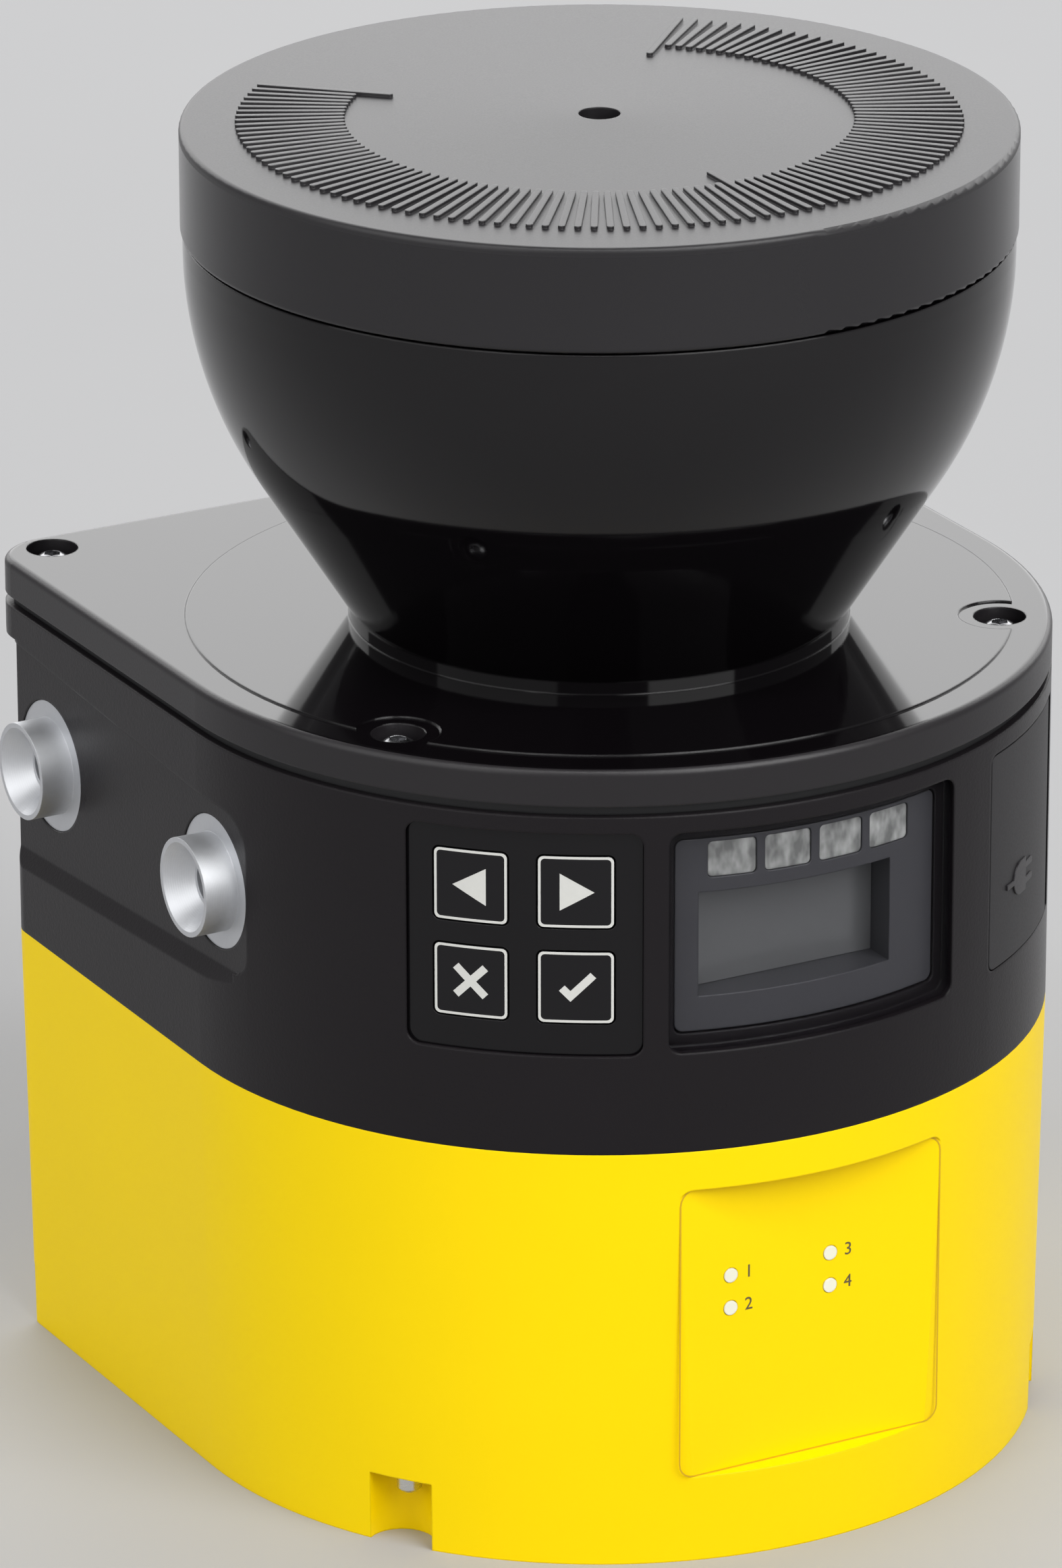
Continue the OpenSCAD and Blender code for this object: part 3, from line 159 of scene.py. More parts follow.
def turned(points, degrees):
    c, s = math.cos(math.radians(degrees)), math.sin(math.radians(degrees))
    return [(x * c - y * s, x * s + y * c) for x, y in points]


def moved(points, dx, dy):
    return [(x + dx, y + dy) for x, y in points]


def arrow(size, side):
    """Triangle that points to the left (side -1) or to the right (side 1)."""
    tip, foot = side * size * 0.47, -side * size * 0.41
    return [(tip, 0), (foot, size / 2), (foot, -size / 2)]


def cross(size, bar):
    """Two bars across each other at 45 degrees, as one outline."""
    a, b = size * 0.64, bar / 2  # half a bar's length and width
    upright = [(-b, a), (-b, b), (-a, b), (-a, -b), (-b, -b), (-b, -a),
               (b, -a), (b, -b), (a, -b), (a, b), (b, b), (b, a)]
    return turned(upright, 45)


def tick(size, bar):
    """Check mark: a short and a long bar that meet at a right angle."""
    short = size * 0.45
    corner = [(0, 0), (size, 0), (size, bar), (bar, bar), (bar, short), (0, short)]
    return moved(turned(corner, 45), -size * 0.15, -size * 0.42)


def plug(size):
    """Plug with two prongs and a lead, as one outline. It lies on its side."""
    half, lead = size * 0.22, size * 0.035
    back, end, front, tip = -size * 0.08, -size * 0.5, size * 0.1, size * 0.34
    inner, outer = half * 0.3, half * 0.66
    round_back = arc(back, 0, half, 90, 180, 6) + arc(back, 0, half, 180, 270, 6)
    upper = [p for p in round_back if p[1] > lead * 1.2]
    lower = [p for p in round_back if p[1] < -lead * 1.2]
    tail = [(back - half, lead), (end, lead), (end, -lead), (back - half, -lead)]
    prongs = [(front, -half), (front, -outer), (tip, -outer), (tip, -inner), (front, -inner),
              (front, inner), (tip, inner), (tip, outer), (front, outer), (front, half)]
    return upper + tail + lower + prongs


# ---------------------------------------------------------------- meshes

def finished(name, bm, material, body):
    """Turns a mesh into a piece that rides on a body and takes a slot's finish."""
    bmesh.ops.remove_doubles(bm, verts=bm.verts, dist=SAME_POINT)
    bmesh.ops.recalc_face_normals(bm, faces=bm.faces)
    mesh = bpy.data.meshes.new(name)
    bm.to_mesh(mesh)
    bm.free()
    mesh.materials.append(material)
    mesh.shade_flat()
    piece = bpy.data.objects.new(name, mesh)
    bpy.context.scene.collection.objects.link(piece)
    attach(piece, body)


def flat_mesh(data, name):
    """Mesh of a flat curve or text, with its thickness."""
    source = bpy.data.objects.new(name + "_source", data)
    bpy.context.scene.collection.objects.link(source)
    depsgraph = bpy.context.evaluated_depsgraph_get()
    mesh = bpy.data.meshes.new_from_object(source.evaluated_get(depsgraph))
    bpy.data.objects.remove(source)
    bm = bmesh.new()
    bm.from_mesh(mesh)
    bpy.data.meshes.remove(mesh)
    bmesh.ops.remove_doubles(bm, verts=bm.verts, dist=SAME_POINT)
    return bm


def outline_curve(name, loops, thickness):
    """Flat curve of closed outlines; a loop inside another one is a hole."""
    curve = bpy.data.curves.new(name, "CURVE")
    curve.dimensions = "2D"
    curve.fill_mode = "BOTH"
    curve.extrude = thickness / 2
    for loop in loops:
        spline = curve.splines.new("POLY")
        spline.points.add(len(loop) - 1)
        for point, (x, y) in zip(spline.points, loop):
            point.co = (x, y, 0, 1)
        spline.use_cyclic_u = True
    return curve


def text_curve(name, text, height, thickness):
    """Flat text that starts at the origin and is centred in height."""
    curve = bpy.data.curves.new(name, "FONT")
    curve.body = text
    curve.size = height
    curve.extrude = thickness / 2
    curve.align_x = "LEFT"
    curve.align_y = "CENTER"
    curve.resolution_u = 4
    return curve


def lay(bm, place, thickness):
    """Moves a flat mesh onto a wall, with its lower side on the wall."""
    for v in bm.verts:
        v.co = place(v.co + Vector((0, 0, thickness / 2)))


def wrap(bm, place, thickness):
    """Cuts a flat mesh into strips, so that it can follow a round wall, and lays it there."""
    across = [v.co.x for v in bm.verts]
    start, cuts = min(across), int((max(across) - min(across)) / STRIP)
    for i in range(1, cuts + 1):
        everything = bm.verts[:] + bm.edges[:] + bm.faces[:]
        bmesh.ops.bisect_plane(bm, geom=everything, plane_co=(start + i * STRIP, 0, 0),
                               plane_no=(1, 0, 0))
    lay(bm, place, thickness)


# ---------------------------------------------------------------- node trees

class Link:
    """A value in a node tree. Arithmetic on it adds Math nodes."""

    def __init__(self, owner, socket):
        self.owner = owner
        self.socket = socket

    def other(self, name):
        """Another output of the same node."""
        return Link(self.owner, self.socket.node.outputs[name])

    def __add__(self, value):
        return self.owner.maths("ADD", self, value)

    def __radd__(self, value):
        return self.owner.maths("ADD", value, self)

    def __sub__(self, value):
        return self.owner.maths("SUBTRACT", self, value)

    def __rsub__(self, value):
        return self.owner.maths("SUBTRACT", value, self)

    def __mul__(self, value):
        return self.owner.maths("MULTIPLY", self, value)

    def __rmul__(self, value):
        return self.owner.maths("MULTIPLY", value, self)

    def __truediv__(self, value):
        return self.owner.maths("DIVIDE", self, value)

    def __pow__(self, value):
        return self.owner.maths("POWER", self, value)

    def __gt__(self, value):
        return self.owner.maths("GREATER_THAN", self, value)

    def __lt__(self, value):
        return self.owner.maths("LESS_THAN", self, value)

    def clamped(self):
        """The value held between 0 and 1."""
        return self.owner.maths("ADD", self, 0.0, clamp=True)

    def wave(self, length):
        """Sine of the value, one full wave in each length."""
        return self.owner.maths("SINE", self * (2 * math.pi / length))


class Tree:
    """Adds nodes to a tree."""

    def __init__(self, tree):
        self.tree = tree

    def node(self, kind, settings, *values, **sockets):
        """Adds a node. Its settings come first, then its sockets by order or by name."""
        made = self.tree.nodes.new(kind)
        for key, value in settings.items():
            setattr(made, key, value)
        enabled = [socket for socket in made.inputs if socket.enabled]
        pairs = list(zip(enabled, values))
        for name, value in sockets.items():
            wanted = name.replace("_", " ")
            pairs.append((next(s for s in enabled if s.name == wanted), value))
        for socket, value in pairs:
            if isinstance(value, Link):
                self.tree.links.new(value.socket, socket)
            else:
                socket.default_value = value
        outputs = [socket for socket in made.outputs if socket.enabled]
        return Link(self, outputs[0]) if outputs else None

    def maths(self, operation, *values, clamp=False):
        return self.node("ShaderNodeMath", {"operation": operation, "use_clamp": clamp}, *values)

    def seen(self):
        """1 for rays of the camera, mirrors and glass, 0 for those that only bring light."""
        rays = self.node("ShaderNodeLightPath", {})
        mirrored = self.maths("MAXIMUM", rays, rays.other("Is Glossy Ray"))
        return self.maths("MAXIMUM", mirrored, rays.other("Is Transmission Ray"))


class Finish(Tree):
    """A material that is built node by node."""

    def __init__(self, name):
        self.material = bpy.data.materials.new(name)
        self.material.use_nodes = True
        super().__init__(self.material.node_tree)
        self.tree.nodes.clear()

    def place(self):
        """Object coordinates."""
        return self.node("ShaderNodeTexCoord", {}).other("Object")

    def parts_of(self, vector):
        """The x, y and z of a vector."""
        split = self.node("ShaderNodeSeparateXYZ", {}, vector)
        return split, split.other("Y"), split.other("Z")

    def stretched(self, sx, sy, sz):
        return self.node("ShaderNodeMapping", {}, Vector=self.place(), Scale=(sx, sy, sz))

    def noise(self, scale, detail=2.0, rough=0.5, vector=None):
        """Noise from 0 to 1 about one half, with its scale per metre."""
        return self.node("ShaderNodeTexNoise", {}, Vector=vector or self.place(), Scale=scale,
                         Detail=detail, Roughness=rough)

    def mix(self, factor, first, second):
        """Blends two colours."""
        colours = [c if isinstance(c, Link) else (*c, 1) for c in (first, second)]
        return self.node("ShaderNodeMix", {"data_type": "RGBA"}, factor, *colours)

    def shades(self, factor, colour, darker, lighter):
        """Blends a colour from a darker to a lighter shade."""
        return self.mix(factor, [c * darker for c in colour],
                        [min(c * lighter, 1) for c in colour])

    def soft_edges(self, radius):
        """Normal that rounds sharp edges."""
        return self.node("ShaderNodeBevel", {"samples": 4}, Radius=radius)

    def bump(self, height, distance, normal=None):
        """Normal of a relief, on top of another normal."""
        sockets = {"Normal": normal} if normal else {}
        return self.node("ShaderNodeBump", {}, Height=height, Distance=distance, **sockets)

    def principled(self, colour, roughness, **sockets):
        if not isinstance(colour, Link):
            colour = (*colour, 1)
        return self.node("ShaderNodeBsdfPrincipled", {}, Base_Color=colour, Roughness=roughness,
                         **sockets)

    def surface(self, shader):
        """Ends the material with a shader and returns it."""
        self.node("ShaderNodeOutputMaterial", {}, Surface=shader)
        return self.material


# ---------------------------------------------------------------- threads

THREAD_INPUTS = {"Radius": "NodeSocketFloat", "Pitch": "NodeSocketFloat",
                 "Turns": "NodeSocketFloat", "Ridge": "NodeSocketFloat",
                 "Steps per turn": "NodeSocketInt", "Finish": "NodeSocketMaterial"}


def thread_tree():
    """Winds a four-sided ridge from each point along the point's own axis, as a screw thread."""
    tree = bpy.data.node_groups.new("screw_thread", "GeometryNodeTree")
    tree.interface.new_socket("Starts", in_out="INPUT", socket_type="NodeSocketGeometry")
    for name, kind in THREAD_INPUTS.items():
        tree.interface.new_socket(name, in_out="INPUT", socket_type=kind)
    tree.interface.new_socket("Threads", in_out="OUTPUT", socket_type="NodeSocketGeometry")
    g = Tree(tree)
    starts = g.node("NodeGroupInput", {})
    radius, pitch, turns = (starts.other(name) for name in ("Radius", "Pitch", "Turns"))
    helix = g.node("GeometryNodeCurveSpiral", {}, Resolution=starts.other("Steps per turn"),
                   Rotations=turns, Start_Radius=radius, End_Radius=radius, Height=pitch * turns)
    flank = g.node("GeometryNodeCurvePrimitiveCircle", {"mode": "RADIUS"}, Resolution=4,
                   Radius=starts.other("Ridge"))
    ridge = g.node("GeometryNodeCurveToMesh", {}, Curve=helix, Profile_Curve=flank, Fill_Caps=True)
    axis = g.node("GeometryNodeInputNamedAttribute", {"data_type": "FLOAT_VECTOR"}, Name="axis")
    turn = g.node("FunctionNodeAlignRotationToVector", {"axis": "Z"}, Vector=axis)
    threads = g.node("GeometryNodeInstanceOnPoints", {}, Points=starts, Instance=ridge,
                     Rotation=turn)
    plain = g.node("GeometryNodeRealizeInstances", {}, threads)
    done = g.node("GeometryNodeSetMaterial", {}, Geometry=plain, Material=starts.other("Finish"))
    g.node("NodeGroupOutput", {}, done)
    return tree


def wind_threads(name, tree, spots, values):
    """Mesh with one thread at each spot, which is a start and a direction."""
    mesh = bpy.data.meshes.new(name)
    mesh.from_pydata([start for start, _ in spots], [], [])
    axes = mesh.attributes.new("axis", "FLOAT_VECTOR", "POINT")
    for item, (_, direction) in zip(axes.data, spots):
        item.vector = direction
    piece = bpy.data.objects.new(name, mesh)
    bpy.context.scene.collection.objects.link(piece)
    winding = piece.modifiers.new("threads", "NODES")
    winding.node_group = tree
    for item in tree.interface.items_tree:
        if item.in_out == "INPUT" and item.name in values:
            winding[item.identifier] = values[item.name]
    depsgraph = bpy.context.evaluated_depsgraph_get()
    wound = bpy.data.meshes.new_from_object(piece.evaluated_get(depsgraph))
    piece.modifiers.clear()
    piece.data = wound
    return piece


# ---------------------------------------------------------------- finishes

def powder_coat(name, colour, roughness, grain, height, edge, spread, specular):
    """Baked powder: fine orange peel, slightly uneven in shade and gloss."""
    f = Finish(name)
    peel = f.noise(1 / grain, 3.0, 0.55)
    slow = f.noise(35.0)
    shade = f.shades(slow, colour, 1 - spread, 1 + spread)
    gloss = roughness + (peel - 0.5) * 0.12 + (slow - 0.5) * 0.06
    normal = f.bump(peel, height, f.soft_edges(edge))
    return f.surface(f.principled(shade, gloss, Normal=normal, Specular_IOR_Level=specular))


def moulded(name, colour, roughness):
    """Moulded plastic with a fine eroded texture."""
    f = Finish(name)
    grains = f.noise(1 / (0.3 * MM), 2.0, 0.6)
    shade = f.shades(f.noise(60.0), colour, 0.92, 1.08)
    normal = f.bump(grains, 0.004 * MM, f.soft_edges(0.2 * MM))
    return f.surface(f.principled(shade, roughness + (grains - 0.5) * 0.14, Normal=normal))


def cover_finish(name, dome, flange, gloss_from):
    """Polished dome and land above a level, fine matt flange below it."""
    f = Finish(name)
    place = f.place()
    _, _, z = f.parts_of(place)
    polished = z > gloss_from
    grains = f.noise(1 / (0.28 * MM), 2.0, 0.55, place)
    slow = f.noise(28.0, 3.0, 0.6, place)
    shade = f.mix(polished, flange, dome)
    matt = 0.36 + (grains - 0.5) * 0.12
    gloss = polished * (0.05 + slow * 0.03) + (1 - polished) * matt
    relief = grains * (1 - polished) + slow * 0.2 * polished
    normal = f.bump(relief, 0.01 * MM, f.soft_edges(0.35 * MM))
    return f.surface(f.principled(shade, gloss, Normal=normal, IOR=1.4))


def cap_finish(name, colour, edge):
    """Matt moulded top, with a slightly smoother band below the level of its edge."""
    f = Finish(name)
    place = f.place()
    _, _, z = f.parts_of(place)
    band = z < edge
    grains = f.noise(1 / (0.22 * MM), 3.0, 0.6, place)
    shade = f.shades(f.noise(40.0, vector=place), colour, 0.92, 1.06)
    gloss = 0.4 + (grains - 0.5) * 0.12 - band * 0.2
    normal = f.bump(grains, 0.007 * MM, f.soft_edges(0.3 * MM))
    return f.surface(f.principled(shade, gloss, Normal=normal, IOR=1.43))


def gloss_film(name, colour, edge):
    """Polished film or plastic, with the faint waviness of a glued sheet."""
    f = Finish(name)
    slow = f.noise(90.0)
    gloss = 0.16 + (f.noise(900.0) - 0.5) * 0.06
    normal = f.bump(slow, 0.01 * MM, f.soft_edges(edge))
    return f.surface(f.principled(f.shades(slow, colour, 0.85, 1.15), gloss, Normal=normal,
                                  Specular_IOR_Level=0.28))


def turned_metal(name, colour, roughness, pitch, height):
    """Metal from the lathe: fine rings round the x axis."""
    f = Finish(name)
    x, _, _ = f.parts_of(f.place())
    worn = f.noise(1500.0, 3.0, 0.6)
    shade = f.shades(worn, colour, 0.94, 1.03)
    normal = f.bump(x.wave(pitch) * 0.5, height, f.soft_edges(0.15 * MM))
    return f.surface(f.principled(shade, roughness + (worn - 0.5) * 0.06, Metallic=1.0,
                                  Normal=normal))


def plain_metal(name, colour, roughness):
    """Bare metal with faint wear."""
    f = Finish(name)
    worn = f.noise(2600.0)
    shade = f.shades(worn, colour, 0.93, 1.05)
    normal = f.bump(worn, 0.002 * MM, f.soft_edges(0.12 * MM))
    return f.surface(f.principled(shade, roughness + (worn - 0.5) * 0.1, Metallic=1.0,
                                  Normal=normal))


def cast_metal(name, colour):
    """Metal with the rough skin of a casting."""
    f = Finish(name)
    grains = f.noise(1400.0, 4.0, 0.6)
    normal = f.bump(grains, 0.03 * MM, f.soft_edges(0.3 * MM))
    return f.surface(f.principled(colour, 0.5 + (grains - 0.5) * 0.2, Metallic=1.0,
                                  Normal=normal))


def rubber(name, colour, roughness):
    """Matt rubber with a fine grain."""
    f = Finish(name)
    grains = f.noise(1 / (0.3 * MM), 3.0, 0.65)
    shade = f.shades(f.noise(80.0), colour, 0.85, 1.2)
    normal = f.bump(grains, 0.012 * MM, f.soft_edges(0.25 * MM))
    return f.surface(f.principled(shade, roughness + (grains - 0.5) * 0.16, Normal=normal))


def clear_pane(name, tint, shine, rim):
    """Clear pane: what is behind it shows, with reflections on its outside only."""
    f = Finish(name)
    smear = f.noise(220.0, 3.0, 0.6)
    leaving = f.node("ShaderNodeNewGeometry", {}).other("Backfacing")
    normal = f.bump(smear, 0.004 * MM, f.soft_edges(rim))
    gloss = f.principled((0.01, 0.01, 0.011), 0.05, Normal=normal)
    through = f.node("ShaderNodeBsdfTransparent", {}, (*tint, 1))
    edge = f.node("ShaderNodeFresnel", {}, IOR=1.45, Normal=normal)
    factor = ((edge + shine + (smear - 0.5) * 0.03) * (1 - leaving)).clamped()
    return f.surface(f.node("ShaderNodeMixShader", {}, factor, through, gloss))


def frosted_frame(name, colour, recess_shade_from, recess_shade_to):
    """Frosted grey frame, with painted shade that darkens it towards the back of its recess."""
    f = Finish(name)
    place = f.place()
    x, y, _ = f.parts_of(place)
    radius = (x * x + y * y) ** 0.5
    recess_shade = ((radius - recess_shade_from) / (recess_shade_to - recess_shade_from)).clamped()
    grains = f.noise(2600.0, 2.0, 0.6, place)
    # Painted shade: the colour falls to 0.55 of itself at the back of the recess.
    shade = f.shades(recess_shade, colour, 0.55, 1)
    normal = f.bump(grains, 0.006 * MM, f.soft_edges(0.3 * MM))
    return f.surface(f.principled(shade, 0.42 + (grains - 0.5) * 0.1, Normal=normal))


def unlit_screen(name, colour):
    """Unlit display: grey with a fine weave of dots under gloss."""
    f = Finish(name)
    x, _, z = f.parts_of(f.place())
    dot = 0.25 * MM
    weave = (z.wave(dot) * x.wave(dot) * 0.5 + 0.5).clamped()
    shade = f.shades(weave * 0.5 + f.noise(60.0) * 0.5, colour, 0.9, 1.1)
    return f.surface(f.principled(shade, 0.3, Coat_Weight=0.5, Coat_Roughness=0.1))


def clear_lens(name, colour):
    """Clear cell with a faceted back; its bright streaks and dark patches are painted highlights and painted shade
    in the base colour.
    """
    f = Finish(name)
    facets = f.node("ShaderNodeTexVoronoi", {"distance": "CHEBYCHEV"},
                    Vector=f.stretched(1, 1, 0.6), Scale=700.0)
    painted_streaks = f.noise(1.0, vector=f.stretched(620, 620, 330))
    # glow is painted light: painted highlights in the streaks, painted shade between them, from 0.3 of the colour
    # up to all of it.
    glow = ((painted_streaks - 0.34) * 2.4 + (facets - 0.5) * 0.5).clamped()
    normal = f.bump(facets, 0.08 * MM, f.soft_edges(0.3 * MM))
    return f.surface(f.principled(f.shades(glow, colour, 0.3, 1), 0.14, Normal=normal,
                                  Coat_Weight=0.6, Coat_Roughness=0.05))


def matt_print(name, colour):
    """Matt ink, slightly uneven."""
    f = Finish(name)
    ink = f.noise(2200.0, 2.0, 0.6)
    shade = f.shades(ink, colour, 0.93, 1)
    return f.surface(f.principled(shade, 0.5 + (ink - 0.5) * 0.1,
                                  Normal=f.bump(ink, 0.004 * MM)))


def socket_finish(name, shell, insert, gilt, centres, level, insert_r, gilt_from):
    """Metal shell round plastic inserts at some x, whose contacts beyond a y are gilt."""
    f = Finish(name)
    x, y, z = f.parts_of(f.place())
    inside = 0.0
    for centre in centres:
        dx, dz = x - centre, z - level
        inside = inside + ((dx * dx + dz * dz) ** 0.5 < insert_r)
    inside = inside.clamped()
    contacts = inside * (y > gilt_from)
    worn = f.noise(2600.0)
    shade = f.mix(contacts, f.mix(inside, shell, insert), gilt)
    gloss = 0.3 + (worn - 0.5) * 0.1 + inside * 0.15
    metal = ((1 - inside) + contacts).clamped()
    normal = f.bump(worn, 0.003 * MM, f.soft_edges(0.15 * MM))
    return f.surface(f.principled(shade, gloss, Metallic=metal, Normal=normal))


def solder_resist(name, colour):
    """Circuit board: green resist that is paler over the tracks."""
    f = Finish(name)
    tracks = f.node("ShaderNodeTexBrick", {"offset": 0.35, "squash": 0.7},
                    Vector=f.place(), Scale=260.0, Mortar_Size=0.03).other("Fac")
    return f.surface(f.principled(f.shades(tracks, colour, 1, 1.6), 0.35,
                                  Normal=f.bump(tracks, 0.02 * MM)))


def mirror_finish(name, colour):
    """Mirror with a trace of haze."""
    f = Finish(name)
    return f.surface(f.principled(colour, 0.02 + f.noise(150.0) * 0.02, Metallic=1.0))


# ---------------------------------------------------------------- settings

def colour_property(name, description, value):
    return bpy.props.FloatVectorProperty(name=name, description=description, default=value,
                                         size=3, min=0, max=1, subtype="COLOR")


def length_property(name, description, value):
    return bpy.props.FloatProperty(name=name, description=description, default=value, min=0,
                                   unit="LENGTH", subtype="DISTANCE")


def angle_property(name, description, value):
    return bpy.props.FloatProperty(name=name, description=description, default=value,
                                   unit="ROTATION", subtype="ANGLE")


class ScannerSizes(bpy.types.PropertyGroup):
    key_frame: length_property("Key frame", "Width of the square printed on a key", 8.8 * MM)
    key_line: length_property("Key line", "Line width of that square", 0.3 * MM)
    key_corner: length_property("Key corner", "Corner radius of that square", 0.65 * MM)
    key_sign: length_property("Key sign", "Height of the sign on a key", 4.6 * MM)
    key_bar: length_property("Sign bar", "Bar width of the cross and the check mark", 0.95 * MM)
    ink: length_property("Ink", "Thickness of the prints", 0.03 * MM)
    number_height: length_property("Numbers", "Height of the numbers by the lamps", 2.3 * MM)
    number_gap: length_property("Number gap", "From a lamp to its number", 1.9 * MM)
    plug_mark: length_property("Plug mark", "Length of the sign on the flap", 9.5 * MM)
    plug_drop: length_property("Plug drop", "From the flap's middle down to its sign", 4.3 * MM)
    thread_pitch: length_property("Thread pitch", "Pitch of the screw threads", 1.0 * MM)
    thread_ridge: length_property("Thread ridge", "Height of a thread's ridge", 0.28 * MM)
    # The field's line is painted shade: it stands for the shade in the engraved outline round the lamps' field.
    field_line: length_property("Field line", "Width of the line round the lamps' field",
                                0.2 * MM)
    plug_relief: length_property("Plug relief", "Height of the sign on the flap", 0.22 * MM)


class ScannerColours(bpy.types.PropertyGroup):
    base: colour_property("Base", "Signal yellow of the lower housing", (0.94, 0.67, 0.0))
    housing: colour_property("Housing", "Black of the upper housing", (0.008, 0.0065, 0.0078))
    flange: colour_property("Flange", "Matt black of the dome's flange", (0.012, 0.0105, 0.012))
    dome: colour_property("Dome", "Polished black of the dome", (0.003, 0.0024, 0.003))
    cap: colour_property("Cap", "Matt black of the cap", (0.012, 0.011, 0.0125))
    panel: colour_property("Keypad", "Gloss black of the keypad", (0.003, 0.0025, 0.0032))
    key: colour_property("Keys", "Black of the keys", (0.0045, 0.004, 0.005))
    prints: colour_property("Prints", "White of the prints on the keys", (0.6, 0.6, 0.57))
    numbers: colour_property("Numbers", "Dark ink of the numbers", (0.11, 0.085, 0.03))
    # A darker yellow for the painted shade in the engraved outline round the lamps' field.
    field_line: colour_property("Field line", "Line round the lamps' field", (0.6, 0.36, 0.0))
    flap: colour_property("Flap", "Rubber of the service flap", (0.009, 0.008, 0.0095))
    flap_mark: colour_property("Flap mark", "Sign on the service flap", (0.014, 0.0125, 0.0145))
    collar: colour_property("Collars", "Turned aluminium", (0.6, 0.61, 0.63))
    window_tint: colour_property("Window", "Tint of the display window", (0.93, 0.93, 0.94))
    screen: colour_property("Screen", "Unlit display", (0.115, 0.117, 0.118))
    display_frame: colour_property("Display frame", "Frosted frame", (0.045, 0.045, 0.05))


class StageSettings(bpy.types.PropertyGroup):
    floor: colour_property("Floor", "Plain floor", (0.37, 0.37, 0.375))
    sky: colour_property("Surroundings", "Colour of the surroundings", (0.37, 0.37, 0.375))
    eye: bpy.props.FloatVectorProperty(
        name="Camera", description="Where the camera stands", default=(-0.5185, -0.9277, 0.4861),
        size=3, unit="LENGTH", subtype="TRANSLATION")
    yaw: angle_property("Yaw", "Turn of the camera about the vertical", -0.50191)
    pitch: angle_property("Pitch", "How far the camera looks down", 0.36590)
    roll: angle_property("Roll", "Turn about the line of sight", -0.00186)
    lens: bpy.props.FloatProperty(name="Focal length", description="For a 36 mm sensor",
                                  default=215.28, min=1, unit="CAMERA")
    level: bpy.props.FloatProperty(name="Lamps", description="Strength of all lamps", default=1,
                                   min=0, subtype="FACTOR")


# ---------------------------------------------------------------- operators

class SCANNER_OT_stage(bpy.types.Operator):
    """Sets up the camera, the floor, the surroundings and the lamps"""

    bl_idname = "scanner.stage"
    bl_label = "Studio"

    def execute(self, context):
        stage = context.scene.scanner_stage
        self.camera(context, stage)
        self.floor(context, stage)
        self.surroundings(context, stage)
        for name, numbers in LAMPS.items():
            self.softbox(context, stage, name, *numbers)
        context.scene.view_settings.view_transform = "Standard"
        return {"FINISHED"}

    def camera(self, context, stage):
        """Camera with its place, turns and focal length from the settings."""
        yaw, pitch, roll = stage.yaw, stage.pitch, stage.roll
        forward = Vector((-math.sin(yaw) * math.cos(pitch), math.cos(yaw) * math.cos(pitch),
                          -math.sin(pitch)))
        right = Vector((math.cos(yaw), math.sin(yaw), 0))
        up = right.cross(forward)
        c, s = math.cos(roll), math.sin(roll)
        side, top = c * right + s * up, c * up - s * right
        data = bpy.data.cameras.new("camera")
        data.sensor_width = SENSOR
        data.lens = stage.lens
        camera = bpy.data.objects.new("camera", data)
        turn = Matrix((side, top, -forward)).transposed().to_4x4()
        camera.matrix_world = Matrix.Translation(Vector(stage.eye)) @ turn
        context.scene.collection.objects.link(camera)
        context.scene.camera = camera

    def floor(self, context, stage):
        """Floor with a trace of dust, which fades into an even shade far away."""
        f = Finish("stage_floor")
        place = f.place()
        x, y, _ = f.parts_of(place)
        shade = f.shades(f.noise(6.0, 3.0, 0.6, place), stage.floor, 0.98, 1.02)
        far = (((x * x + y * y) ** 0.5 - FAR_FROM) / (FAR_TO - FAR_FROM)).clamped()
        glow = f.mix(far * f.seen(), (0, 0, 0), stage.floor)
        h = FLOOR_HALF
        mesh = bpy.data.meshes.new("floor")
        mesh.from_pydata([(-h, -h, 0), (h, -h, 0), (h, h, 0), (-h, h, 0)], [], [(0, 1, 2, 3)])
        mesh.materials.append(f.surface(f.principled(shade, 0.85, Emission_Color=glow,
                                                     Emission_Strength=1.0)))
        floor = bpy.data.objects.new("floor", mesh)
        context.scene.collection.objects.link(floor)

    def surroundings(self, context, stage):
        """Even surroundings, which light the part less than they show."""
        world = bpy.data.worlds.new("surroundings")
        world.use_nodes = True
        world.node_tree.nodes.clear()
        w = Tree(world.node_tree)
        strength = SKY_LIGHT + (SKY_SEEN - SKY_LIGHT) * w.seen()
        light = w.node("ShaderNodeBackground", {}, (*stage.sky, 1), strength)
        w.node("ShaderNodeOutputWorld", {}, Surface=light)
        context.scene.world = world

    def softbox(self, context, stage, name, azimuth, elevation, distance, width, height, watts):
        """Area lamp that looks at the middle of the part."""
        a, e = math.radians(azimuth), math.radians(elevation)
        away = Vector((math.sin(a) * math.cos(e), -math.cos(a) * math.cos(e), math.sin(e)))
        data = bpy.data.lights.new(name, "AREA")
        data.shape = "RECTANGLE"
        data.size, data.size_y = width, height
        data.energy = watts * stage.level
        lamp = bpy.data.objects.new(name, data)
        lamp.location = Vector((0, 0, CAD_BOX[1].z / 2)) + away * distance
        lamp.rotation_euler = (-away).to_track_quat("-Z", "Y").to_euler()
        lamp.visible_camera = False
        context.scene.collection.objects.link(lamp)


